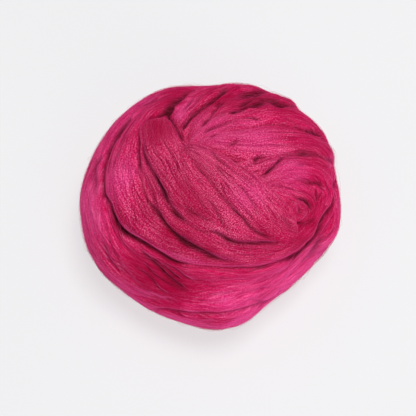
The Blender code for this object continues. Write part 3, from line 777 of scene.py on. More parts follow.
@dataclass
class CombedRelief:
    """Lengthwise lobes and creases of the combed fibre on one wrap.

    Offsets across are in mm of the wrap at its mean width, so that the lobes draw together
    where the wrap narrows, as the real fibres do.
    """

    seed: int
    length: float  # mm
    closed: bool
    columns: int = 96
    fewest_cells: int = 4
    spare_cells: int = 6  # past the end of an open wrap, whose lobes never meet their start
    bends: tuple[tuple[float, float], ...] = ((110.0, 0.8), (45.0, 0.35), (19.0, 0.14))  # mm
    bend_key: int = 7
    lobe_key: int = 11
    lobe_power: float = 0.75  # sharpness of the creases between round lobes
    lobe_middle: float = 0.45  # mean height of a lobe, taken off to leave the wrap's own height

    def wander(self, travel: np.ndarray) -> np.ndarray:
        """How far the fibres stray sideways.

        Args:
            travel: mm along the wrap.

        Returns:
            Millimetres across, one for each place.
        """
        rng = np.random.default_rng((self.seed, self.bend_key))
        drift = np.zeros_like(travel)
        for reach, amount in self.bends:
            turns = max(1, round(self.length / reach))
            phase = rng.uniform(0, 2 * math.pi)
            drift += amount * np.sin(2 * math.pi * turns * travel / self.length + phase)
        return drift

    def noise(self, key: int, ridges: Ridges, offset: np.ndarray, travel: np.ndarray) -> np.ndarray:
        """Smooth random lobes, each lane with its own phase along the wrap.

        Args:
            key: tells one layer's numbers from another's.
            ridges: the size of the lobes.
            offset: mm across the wrap.
            travel: mm along the wrap.

        Returns:
            Values of about -1 to 1.
        """
        rng = np.random.default_rng((self.seed, key))
        cells = max(self.fewest_cells, round(self.length / ridges.length))
        period = cells if self.closed else cells + self.spare_cells
        table = rng.uniform(-1, 1, (period, self.columns))
        phase = rng.uniform(0, 1, self.columns)
        lane = offset / ridges.width + 0.5 * self.columns
        first = np.floor(lane).astype(int)
        total = np.zeros_like(offset)
        for step, weight in zip(NEIGHBOURS, cubic_weights(lane - first)):
            column = (first + step) % self.columns
            along = travel * cells / self.length + phase[column]
            row = np.floor(along).astype(int)
            for move, share in zip(NEIGHBOURS, cubic_weights(along - row)):
                total += weight * share * table[(row + move) % period, column]
        return total

    def height(self, offset: np.ndarray, travel: np.ndarray) -> np.ndarray:
        """Height of the lobes above the smooth wrap.

        Args:
            offset: mm across the wrap.
            travel: mm along the wrap.

        Returns:
            Millimetres, one for each place.
        """
        strayed = offset + self.wander(travel)
        total = np.zeros_like(offset)
        for key, ridges in enumerate(RIDGES, start=self.lobe_key):
            value = self.noise(key, ridges, strayed, travel)
            if ridges.lobed:
                value = np.abs(value) ** self.lobe_power - self.lobe_middle
            total += ridges.height * value
        return total


@dataclass
class LaidWrap:
    """A wrap once it lies on the ball: evenly spaced sections and the heights under them."""

    wrap: Wrap
    core: Core
    seed: int
    section_step: float = 1.35 * MM
    fewest_sections: int = 24
    per_place: int = 40  # samples of the smooth path from one place to the next
    end_loft: float = 0.02  # least share of the loft at a tucked end
    end_sink: float = 3.0 * MM
    end_widths: tuple[float, float] = (0.35, 0.65)  # share of the width kept, and given up
    wide_share: int = 60  # percentile of the half widths that the fibres are spaced for
    edge_power: int = 8  # how late the lobes fade out towards the wrap's edges
    hold: float = 1.6  # half widths from a section's middle that still lie on the wrap
    length: float = field(init=False)
    count: int = field(init=False)
    step: float = field(init=False)
    travelled: np.ndarray = field(init=False)
    points: np.ndarray = field(init=False)
    along: np.ndarray = field(init=False)
    side: np.ndarray = field(init=False)
    width: np.ndarray = field(init=False)
    raised: np.ndarray = field(init=False)
    fullness: np.ndarray = field(init=False)
    half: np.ndarray = field(init=False)
    loft: np.ndarray = field(init=False)
    bed: np.ndarray = field(init=False)
    relief: CombedRelief = field(init=False)
    mean_half: float = field(init=False)  # mm

    def __post_init__(self) -> None:
        """Space the sections along the wrap's path and thin its ends."""
        self.follow_path()
        self.thin_ends()
        self.bed = np.zeros((len(BED_BLENDS), self.count))
        self.relief = CombedRelief(self.seed, self.length / MM, self.wrap.closed)
        self.mean_half = float(np.percentile(self.half, self.wide_share)) / MM

    def follow_path(self) -> None:
        """Space the sections evenly along the smooth path through the wrap's places."""
        places = np.array(self.wrap.places, float)
        rows = np.hstack((heading(places[:, 0], places[:, 1]), places[:, 2:] * MM))
        fine = spline(rows, self.wrap.closed, self.per_place)
        travel = distances_along(unit(fine[:, :3]) * self.core.reach)
        self.length = float(travel[-1])
        self.count = max(self.fewest_sections, round(self.length / self.section_step))
        self.step = self.length / (self.count if self.wrap.closed else self.count - 1)
        self.travelled = self.step * np.arange(self.count)
        columns = [np.interp(self.travelled, travel, column) for column in fine.T]
        headings = unit(np.stack(columns[:3], 1))
        self.points = headings * self.core.reach
        self.width, self.raised = columns[3:]
        if self.wrap.closed:
            along = np.roll(self.points, -1, 0) - np.roll(self.points, 1, 0)
        else:
            along = np.gradient(self.points, axis=0)
        normal = unit(headings / self.core.reach)
        self.along = unit(along - normal * (along * normal).sum(1, keepdims=True))
        self.side = np.cross(normal, self.along)

    def thin_ends(self) -> None:
        """Narrow, thin and sink an open wrap towards its tucked ends."""
        self.fullness = np.ones(self.count)
        if not self.wrap.closed:
            for reach, away in zip(self.wrap.tucks, (self.travelled, self.length - self.travelled)):
                share = np.clip(away / (reach * MM), 0, 1)
                self.fullness *= np.maximum(np.sqrt(1 - (1 - share) ** 2), self.end_loft)
                self.raised = self.raised - self.end_sink * (1 - share) ** 2
        kept, given_up = self.end_widths
        self.half = 0.5 * self.width * (kept + given_up * self.fullness)
        self.loft = self.wrap.loft * MM * self.fullness

    def headings_at(self, across: float | np.ndarray) -> np.ndarray:
        """Directions to the points at -1 to 1 across every section."""
        return unit((self.points + self.side * (across * self.half)[:, None]) / self.core.reach)

    def settle(self, laid: Sequence["LaidWrap"]) -> None:
        """Rest the wrap on what is laid already, pressed in by the softness of the roving.

        Args:
            laid: the wraps under this one.
        """
        felt = [
            SOFTNESS * height_over(self.headings_at(across), laid, fine=False)
            for across in BED_PROBES
        ]
        self.bed = np.array([
            self.smooth_along(sum(share * felt[probe] for probe, share in blend)) + self.raised
            for blend in BED_BLENDS
        ])

    def smooth_along(self, values: np.ndarray) -> np.ndarray:
        """Average a row of heights over the settling length.

        Args:
            values: one height for each section.

        Returns:
            The smoothed heights.
        """
        reach = int(3 * SETTLE_LENGTH / self.step) + 1
        offsets = np.arange(-reach, reach + 1) * self.step
        weights = np.exp(-0.5 * (offsets / SETTLE_LENGTH) ** 2)
        padded = np.pad(values, reach, mode="wrap" if self.wrap.closed else "edge")
        return np.convolve(padded, weights / weights.sum(), "valid")

    def smooth_height(self, index: np.ndarray, across: np.ndarray) -> np.ndarray:
        """Height of the smooth top above the core.

        Args:
            index: number of the section.
            across: -1 to 1 across it.

        Returns:
            Metres, one for each place.
        """
        left, middle, right = (bed[index] for bed in self.bed)
        bend = 0.5 * (right - left) * across + 0.5 * (left + right - 2 * middle) * across**2
        return middle + bend + self.loft[index] * crown(across)

    def fine_height(self, index: np.ndarray, across: np.ndarray) -> np.ndarray:
        """Height of the top above the core, with its lobes and creases.

        Args:
            index: number of the section.
            across: -1 to 1 across it.

        Returns:
            Metres, one for each place.
        """
        lobes = self.relief.height(across * self.mean_half, self.travelled[index] / MM)
        edge = 1 - np.clip(np.abs(across), 0, 1) ** self.edge_power
        room = np.minimum(1, self.half[index] / (self.mean_half * MM)) * self.fullness[index]
        return self.smooth_height(index, across) + lobes * edge * room * MM

    def height_along(self, headings: np.ndarray, fine: bool) -> np.ndarray:
        """Height of the wrap's top along given directions.

        Args:
            headings: unit directions from the core's middle.
            fine: whether lobes and creases are counted.

        Returns:
            Metres above the core, and far below it where the wrap isn't.
        """
        points = headings * self.core.reach
        index = nearest(points, self.points)
        offset = points - self.points[index]
        across = (offset * self.side[index]).sum(1) / self.half[index]
        inside = (np.abs(across) < 1) & ((offset**2).sum(1) < (self.hold * self.half[index]) ** 2)
        if not self.wrap.closed:
            past = (offset * self.along[index]).sum(1)
            inside &= ~((index == 0) & (past < -self.step))
            inside &= ~((index == self.count - 1) & (past > self.step))
        top = np.full(len(points), NOT_THERE)
        held = np.flatnonzero(inside)
        if len(held):
            measure = self.fine_height if fine else self.smooth_height
            top[held] = measure(index[held], across[held])
        return top


class PressedLine(NamedTuple):
    """A fold laid out finely over the core."""

    spots: np.ndarray
    course: np.ndarray  # directions along the line
    depths: np.ndarray
    widths: np.ndarray


@dataclass
class PressedFolds:
    """The gaps and creases, as lines over the core that press the wool down along them."""

    core: Core
    per_place: int = 14  # samples of a line from one place to the next
    ease: float = 5.0 * MM  # length over which an end of a line fades out
    ease_share: float = 0.4  # the most of a short line that one end takes for that
    ease_power: float = 0.7
    felt: float = 3.0  # widths to the side of a line that it may press
    past_ends: float = 1.5 * MM  # how far beyond its ends a line still presses
    flare: float = 1.5  # shape of the sides: 2 is a smooth bell, less is a sharper crease
    lines: list[PressedLine] = field(default_factory=list)

    def __post_init__(self) -> None:
        """Lay every line out on the core."""
        for fold in FOLDS:
            rows = np.array(fold.places, float)
            rows = np.hstack((heading(rows[:, 0], rows[:, 1]), rows[:, 2:] * MM))
            fine = spline(rows, False, self.per_place)
            spots = unit(fine[:, :3]) * self.core.reach
            travel = distances_along(spots)
            away = np.minimum(travel, travel[-1] - travel)
            ease = min(self.ease, self.ease_share * travel[-1])
            fade = np.clip(away / ease, 0, 1) ** self.ease_power
            course = unit(np.gradient(spots, axis=0))
            self.lines.append(PressedLine(spots, course, fine[:, 3] * fade, fine[:, 4]))

    def depth(self, headings: np.ndarray) -> np.ndarray:
        """How far the deepest line presses the wool in along given directions.

        Args:
            headings: unit directions from the core's middle.

        Returns:
            Metres below the surface that the wraps would have.
        """
        points = headings * self.core.reach
        total = np.zeros(len(points))
        for spots, course, depths, widths in self.lines:
            reach = self.felt * widths.max()
            low, high = spots.min(0) - reach, spots.max(0) + reach
            near = np.flatnonzero(((points > low) & (points < high)).all(1))
            if not len(near):
                continue
            close = points[near]
            index = nearest(close, spots)
            offset = close - spots[index]
            lengthwise = (offset * course[index]).sum(1)
            square = np.maximum((offset**2).sum(1) - lengthwise**2, 0)
            beyond = np.maximum(np.abs(lengthwise) - self.past_ends, 0)
            gap = np.sqrt(square + beyond**2) / widths[index]
            pressed = depths[index] * np.exp(-(gap**self.flare))
            total[near] = np.maximum(total[near], pressed)
        return total

    def dye(self, headings: np.ndarray) -> np.ndarray:
        """Painted shade and painted light along given directions.

        Args:
            headings: unit directions from the core's middle.

        Returns:
            1 where the painted shade is deepest, -1 where the painted light is palest.
        """
        points = headings * self.core.reach
        total = np.zeros(len(points))
        for tint in TINTS:
            for place in tint.places:
                middle = heading(*place) * self.core.reach
                gap = np.linalg.norm(points - middle, axis=1) / (tint.reach * MM)
                share = tint.dye.value * np.exp(-(gap**2))
                total = total + share * (1 - np.abs(total))
        return total


def height_over(headings: np.ndarray, laid: Iterable[LaidWrap], fine: bool) -> np.ndarray:
    """Height of the ball so far above its core, along given directions.

    Args:
        headings: unit directions from the core's middle.
        laid: the wraps to count.
        fine: whether their lobes and creases are counted.

    Returns:
        Metres above the core.
    """
    top = np.zeros(len(headings))
    for wrap in laid:
        top = np.maximum(top, wrap.height_along(headings, fine))
    return top


def rest_on_surface(points: np.ndarray, lowest: float, softness: float = 1.2 * MM) -> np.ndarray:
    """Flatten points softly onto the surface that the ball sits on.

    Args:
        points: points in the CAD's frame.
        lowest: height that none of them goes under.
        softness: how gently the flat spot begins.

    Returns:
        The points, with those under the surface brought up to it.
    """
    height = points[..., 2] - lowest
    eased = 0.5 * (height + np.sqrt(height**2 + softness**2))
    near = np.clip((4 * softness - height) / (2 * softness), 0, 1)
    flattened = points.copy()
    flattened[..., 2] = lowest + height + (eased - height) * near
    return flattened


def hex_colour(code: str) -> tuple[float, float, float, float]:
    """Turn an sRGB hex value to linear colour.

    Args:
        code: the value, such as 'C21F5F'.

    Returns:
        Red, green, blue and alpha.
    """
    parts = (int(code[k:k + 2], 16) / 255 for k in (0, 2, 4))
    linear = (c / 12.92 if c <= 0.04045 else ((c + 0.055) / 1.055) ** 2.4 for c in parts)
    return (*linear, 1.0)


def add_node(tree: bpy.types.NodeTree, kind: str, settings: dict | None = None,
             inputs: dict | None = None, stops: Sequence[Stop] = ()) -> bpy.types.Node:
    """Add a shader node.

    Args:
        tree: the node tree that gets it.
        kind: the node's type name.
        settings: its properties by name.
        inputs: its inputs by name or number; an output socket is linked, a value is set.
        stops: a colour ramp's stops, lowest first.

    Returns:
        The new node.
    """
    node = tree.nodes.new(kind)
    for name, value in (settings or {}).items():
        setattr(node, name, value)
    for name, value in (inputs or {}).items():
        if isinstance(value, bpy.types.NodeSocket):
            tree.links.new(value, node.inputs[name])
        else:
            node.inputs[name].default_value = value
    for stop in stops[1:-1]:
        node.color_ramp.elements.new(stop.place)
    for number, stop in enumerate(stops):
        element = node.color_ramp.elements[number]
        element.position, element.color = stop.place, hex_colour(stop.code)
    return node


def new_material(name: str) -> tuple[bpy.types.Material, bpy.types.NodeTree]:
    """Make a material with an empty node tree.

    Args:
        name: the material's name.

    Returns:
        The material and its tree.
    """
    material = bpy.data.materials.new(name)
    material.use_nodes = True
    material.node_tree.nodes.clear()
    return material, material.node_tree


@dataclass(frozen=True)
class CombedWool:
    """Dyed combed wool top: matt fibre, parallel and slightly crimped.

    Base tone varies in streaks along the fibres, since the dyeing is uneven. Crossing ends
    of single fibres roughen the top and the foot of the ball, and less so its rim, where the
    wool is drawn tight. The sheen is pale fuzz, which lightens the edges that are seen at a
    shallow angle. Painted light makes the sides and lit parts paler; painted shade darkens
    the gaps, partings, hairlines and shaded parts.
    """

    name: str = "dyed_combed_wool_roving"
    tones: tuple[Stop, ...] = (
        Stop(0.20, "900C3A"), Stop(0.50, "C91050"), Stop(0.68, "DA3670"), Stop(0.95, "EE7CA2"),
    )
    # painted light, for the lit parts of the turns and for the sides
    painted_light_ramp: tuple[Stop, ...] = (Stop(0.38, "D42A76"), Stop(0.78, "FF62A6"))
    # painted shade, for the shaded parts of the turns
    painted_shade_colour: str = "A00A36"
    # painted shade along the partings and hairlines
    parting: str = "8A0C34"
    # painted shade at the bottom of gaps and folds, and on the core
    crease_shade: str = "54141F"
    sheen: str = "F25A98"
    sheen_share: float = 0.3
    sheen_roughness: float = 0.3
    roughness: float = 0.9
    ior: float = 1.54
    lock: tuple[float, float] = (5.5, 75.0)  # mm across and along a lock of fibres
    parting_size: tuple[float, float] = (3.0, 60.0)  # mm between the fine partings
    parting_width: float = 0.035  # in the value of the streaks that a parting follows
    hairline_size: tuple[float, float] = (1.2, 34.0)
    hairline_width: float = 0.04
    fibre: tuple[float, float] = (0.42, 10.0)  # mm, some 15 times coarser than real, to show
    slant: float = 0.08  # radians, how far crossing fibres lie off the roving's direction
    fuzz: tuple[float, float] = (0.30, 0.8)  # mm, short crimped ends on top of the mass
    fuzz_slant: float = 0.6
    crimp: float = 0.2  # mm, how far the crimp moves a fibre sideways
    crimp_size: tuple[float, float] = (7.0, 3.2)  # mm across and along one wave of it
    comb_start: float = -0.05  # tone before the streaks are added, each by its share
    lock_share: float = 0.3
    fibre_share: float = 0.5
    fuzz_share: float = 1.45
    parting_share: float = 0.6
    hairline_share: float = 0.45
    bump_strength: float = 0.75
    bump_depth: float = 0.22 * MM
    raised_share: float = 0.5  # of the bump, for fibres and for fuzz
    parting_bump: float = -0.5  # pressed in
    hairline_bump: float = -0.3
    calm_band: tuple[float, float, float, float] = (22.0, 46.0, 64.0, 86.0)  # mm, heights
    calm_share: float = 0.25  # of the single fibres' strength, within the band
    calm_foot: float = 0.75  # the same below it
    side_light_share: float = 0.75  # most painted light on a side
    side_light_turn: tuple[float, float] = (0.15, 0.7)  # rise of the surface's normal, full to none

    def make(self) -> bpy.types.Material:
        """Build the material."""
        material, tree = new_material(self.name)
        lay, shade = (
            add_node(tree, "ShaderNodeAttribute", {"attribute_name": name}).outputs["Vector"]
            for name in ("lay", "shade")
        )
        crimped = self.crimped(tree, lay)
        locks = self.streaks(tree, lay, self.lock, 0.0, 2.0)
        fibres, crossing = (
            self.streaks(tree, crimped, self.fibre, slant, 1.0)
            for slant in (self.slant, -self.slant)
        )
        fuzz, fuzz_across = (
            self.streaks(tree, crimped, self.fuzz, slant, 0.0)
            for slant in (self.fuzz_slant, -self.fuzz_slant)
        )
        partings = self.lines(tree, crimped, self.parting_size, self.parting_width)
        hairlines = self.lines(tree, crimped, self.hairline_size, self.hairline_width)
        ends = self.sum_of(tree, -self.fuzz_share, (
            (fuzz, self.fuzz_share), (fuzz_across, self.fuzz_share)))
        combed = self.sum_of(tree, self.comb_start, (
            (locks, self.lock_share), (fibres, self.fibre_share), (crossing, self.fibre_share)))
        tone = self.sum_of(tree, combed, ((ends, self.looseness(tree)),))
        # Painted shade along the partings and hairlines, which the bump also presses in.
        dark = self.sum_of(tree, 0.0, (
            (partings, self.parting_share), (hairlines, self.hairline_share)))
        relief = self.sum_of(tree, 0.0, (
            (fibres, self.raised_share), (fuzz, self.raised_share),
            (fuzz_across, self.raised_share), (partings, self.parting_bump),
            (hairlines, self.hairline_bump)))
        bump = add_node(tree, "ShaderNodeBump", inputs={
            "Strength": self.bump_strength, "Distance": self.bump_depth, "Height": relief,
        })
        shader = add_node(tree, "ShaderNodeBsdfPrincipled", inputs={
            "Base Color": self.coloured(tree, tone, dark, shade), "Roughness": self.roughness,
            "IOR": self.ior, "Specular IOR Level": 0.0, "Sheen Weight": self.sheen_share,
            "Sheen Roughness": self.sheen_roughness, "Sheen Tint": hex_colour(self.sheen),
            "Normal": bump.outputs["Normal"],
        })
        add_node(tree, "ShaderNodeOutputMaterial", inputs={"Surface": shader.outputs[0]})
        return material

    def coloured(self, tree: bpy.types.NodeTree, tone: bpy.types.NodeSocket,
                 dark: bpy.types.NodeSocket, shade: bpy.types.NodeSocket) -> bpy.types.NodeSocket:
        """Colour of the wool, with painted shade and painted light laid over in turn.

        Args:
            tree: the material's nodes.
            tone: how light the streak is.
            dark: how strongly the painted shade of a parting shows.
            shade: shares of painted shade in gaps, painted shade and painted light.

        Returns:
            The colour's socket.
        """
        colour, pale_colour = (
            add_node(tree, "ShaderNodeValToRGB", inputs={0: tone}, stops=stops).outputs["Color"]
            for stops in (self.tones, self.painted_light_ramp)
        )
        # Painted shade of the gaps, painted shade of the tints and painted light of the tints.
        hollow, deep, pale = add_node(tree, "ShaderNodeSeparateXYZ", inputs={0: shade}).outputs
        # Painted light: the tints' pale parts and the sides.
        painted_light = self.sum_of(tree, 0.0, ((pale, 1.0), (self.side_light(tree), 1.0)))
        for share, over in (
            (dark, hex_colour(self.parting)), (deep, hex_colour(self.painted_shade_colour)),
            (painted_light, pale_colour), (hollow, hex_colour(self.crease_shade)),
        ):
            colour = add_node(tree, "ShaderNodeMix", {"data_type": "RGBA"},
                              {0: share, 6: colour, 7: over}).outputs[2]
        return colour

    def looseness(self, tree: bpy.types.NodeTree) -> bpy.types.NodeSocket:
        """How strongly single fibres show: less round the rim, where the wool is drawn tight.

        Args:
            tree: the material's nodes.

        Returns:
            The share's socket.
        """
        places = add_node(tree, "ShaderNodeTexCoord").outputs["Object"]
        height = add_node(tree, "ShaderNodeSeparateXYZ", inputs={0: places}).outputs["Z"]
        low, under, over, high = (level * MM for level in self.calm_band)
        strength: float | bpy.types.NodeSocket = self.calm_foot
        for start, end, after in ((low, under, self.calm_share), (over, high, 1.0)):
            strength = add_node(tree, "ShaderNodeMapRange", {"interpolation_type": "SMOOTHSTEP"}, {
                "Value": height, "From Min": start, "From Max": end,
                "To Min": strength, "To Max": after,
            }).outputs[0]
        return strength

    def side_light(self, tree: bpy.types.NodeTree) -> bpy.types.NodeSocket:
        """Painted light on the sides: how much paler the wool is painted where it faces sideways or
        down.

        Args:
            tree: the material's nodes.

        Returns:
            The share's socket.
        """
        normal = add_node(tree, "ShaderNodeNewGeometry").outputs["Normal"]
        rise = add_node(tree, "ShaderNodeSeparateXYZ", inputs={0: normal}).outputs["Z"]
        full, none = self.side_light_turn
        return add_node(tree, "ShaderNodeMapRange", {"interpolation_type": "SMOOTHSTEP"}, {
            "Value": rise, "From Min": full, "From Max": none,
            "To Min": self.side_light_share, "To Max": 0.0,
        }).outputs[0]

    def crimped(self, tree: bpy.types.NodeTree, lay: bpy.types.NodeSocket) -> bpy.types.NodeSocket:
        """Move the fibre coordinates sideways and back, as crimp does.

        Args:
            tree: the material's nodes.
            lay: mm across and along the roving.

        Returns:
            The moved coordinates.
        """
        wave = self.streaks(tree, lay, self.crimp_size, 0.0, 0.0)
        sideways = self.sum_of(tree, -0.5 * self.crimp, ((wave, self.crimp),))
        shift = add_node(tree, "ShaderNodeCombineXYZ", inputs={"X": sideways})
        return add_node(tree, "ShaderNodeVectorMath", {"operation": "ADD"},
                        {0: lay, 1: shift.outputs[0]}).outputs[0]

    def lines(self, tree: bpy.types.NodeTree, lay: bpy.types.NodeSocket,
              size: tuple[float, float], width: float) -> bpy.types.NodeSocket:
        """Thin lines along the fibres, where streaks cross their middle value.

        Args:
            tree: the material's nodes.
            lay: mm across and along the roving.
            size: mm across one streak, and along it.
            width: how far from the middle value a line reaches.

        Returns:
            1 on a line, 0 away from it.
        """
        streaks = self.streaks(tree, lay, size, 0.0, 1.0)
        gap = add_node(tree, "ShaderNodeMath", {"operation": "SUBTRACT"}, {0: streaks, 1: 0.5})
        near = add_node(tree, "ShaderNodeMath", {"operation": "ABSOLUTE"}, {0: gap.outputs[0]})
        return add_node(tree, "ShaderNodeMapRange", {"interpolation_type": "SMOOTHSTEP"}, {
            "Value": near.outputs[0], "From Min": 0.0, "From Max": width,
            "To Min": 1.0, "To Max": 0.0,
        }).outputs[0]

    def sum_of(self, tree: bpy.types.NodeTree, start: float | bpy.types.NodeSocket,
               parts: Sequence[tuple]) -> bpy.types.NodeSocket:
        """Weighted sum of values.

        Args:
            tree: the material's nodes.
            start: what the sum starts from.
            parts: each value and its weight, which may be a value itself.

        Returns:
            The sum's socket.
        """
        total = start
        for value, weight in parts:
            total = add_node(tree, "ShaderNodeMath", {"operation": "MULTIPLY_ADD"},
                             {0: value, 1: weight, 2: total}).outputs[0]
        return total

    def streaks(self, tree: bpy.types.NodeTree, lay: bpy.types.NodeSocket,
                size: tuple[float, float], slant: float, detail: float) -> bpy.types.NodeSocket:
        """Streaks that run along the fibres.

        Args:
            tree: the material's nodes.
            lay: mm across and along the roving.
            size: mm across one streak, and along it.
            slant: radians that the streaks are turned off the roving's direction.
            detail: octaves of finer streaks.

        Returns:
            The streaks' value, about 0 to 1.
        """
        width, length = size
        turned = add_node(tree, "ShaderNodeMapping", inputs={
            "Vector": lay, "Rotation": (0.0, 0.0, slant),
        })
        scaled = add_node(tree, "ShaderNodeMapping", inputs={
            "Vector": turned.outputs[0], "Scale": (1 / width, 1 / length, 1 / length),
        })
        noise = add_node(tree, "ShaderNodeTexNoise", inputs={
            "Vector": scaled.outputs[0], "Scale": 1.0, "Detail": detail, "Roughness": 0.6,
        })
        return noise.outputs["Fac"]


@dataclass(frozen=True)
class MottledFinish:
    """A matt finish whose tone drifts softly from place to place."""

    name: str
    tones: tuple[Stop, ...]
    mottle: float  # changes of tone in a metre
    detail: float  # octaves of finer mottling
    roughness: float
    ior: float
    gloss: float

    def extras(self) -> dict:
        """Further inputs of the shader."""
        return {}

    def make(self) -> bpy.types.Material:
        """Build the material."""
        material, tree = new_material(self.name)
        places = add_node(tree, "ShaderNodeTexCoord").outputs["Object"]
        noise = add_node(tree, "ShaderNodeTexNoise", inputs={
            "Vector": places, "Scale": self.mottle, "Detail": self.detail,
        })
        ramp = add_node(tree, "ShaderNodeValToRGB", inputs={0: noise.outputs["Fac"]},
                        stops=self.tones)
        shader = add_node(tree, "ShaderNodeBsdfPrincipled", inputs={
            "Base Color": ramp.outputs["Color"], "Roughness": self.roughness, "IOR": self.ior,
            "Specular IOR Level": self.gloss, **self.extras(),
        })
        add_node(tree, "ShaderNodeOutputMaterial", inputs={"Surface": shader.outputs[0]})
        return material


@dataclass(frozen=True)
class LooseWool(MottledFinish):
    """Single dyed wool fibres: lighter than the mass, because light comes through them."""

    name: str = "loose_dyed_wool_fibre"
    tones: tuple[Stop, ...] = (Stop(0.35, "C01A58"), Stop(0.65, "E2407E"))
    mottle: float = 90.0  # so that a fibre changes tone once or twice
    detail: float = 1.0
    roughness: float = 0.7
    ior: float = 1.54
    gloss: float = 0.05
    sheen: str = "F25A98"
    sheen_share: float = 0.2

    def extras(self) -> dict:
        """The pale sheen along a fibre's edge."""
        return {"Sheen Weight": self.sheen_share, "Sheen Tint": hex_colour(self.sheen)}


@dataclass(frozen=True)
class PaleSurface(MottledFinish):
    """Matt white board under the ball, with the faintest mottling of its coating."""

    name: str = "matt_white_board"
    tones: tuple[Stop, ...] = (Stop(0.2, "8A8A8B"), Stop(0.8, "8E8E8F"))
    mottle: float = 6.0
    detail: float = 2.0
    roughness: float = 0.9
    ior: float = 1.45
    gloss: float = 0.1
    lit: str = "F0F0F1"
    glow: float = 0.70

    def extras(self) -> dict:
        """The light from below, as on a light table, which keeps the shadows pale."""
        return {"Emission Color": hex_colour(self.lit), "Emission Strength": self.glow}


def mesh_from(shell: bmesh.types.BMesh, name: str) -> bpy.types.Mesh:
    """Turn a bmesh into a mesh and free it.

    Args:
        shell: the finished bmesh.
        name: the mesh's name.

    Returns:
        The mesh.
    """
    mesh = bpy.data.meshes.new(name)
    shell.to_mesh(mesh)
    shell.free()
    return mesh


def put_in_scene(name: str, data: bpy.types.ID) -> bpy.types.Object:
    """Make an object and put it into the scene.

    Args:
        name: the object's name.
        data: its mesh, curve, light or camera.

    Returns:
        The object, at the origin.
    """
    made = bpy.data.objects.new(name, data)
    bpy.context.scene.collection.objects.link(made)
    return made


def add_piece(name: str, mesh: bpy.types.Mesh, material: bpy.types.Material) -> bpy.types.Object:
    """Put a finished mesh into the scene as a piece of the ball.

    Args:
        name: the piece's name.
        mesh: its mesh, in the frame of the CAD.
        material: its finish.

    Returns:
        The new object, which rides on the ball's body.
    """
    mesh.materials.append(material)
    piece = put_in_scene(name, mesh)
    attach(piece, BODY)
    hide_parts(NODE)
    return piece


def report(piece: bpy.types.Object) -> None:
    """Log a piece's name and size."""
    LOG.info("%s: %d faces", piece.name, len(piece.data.polygons))


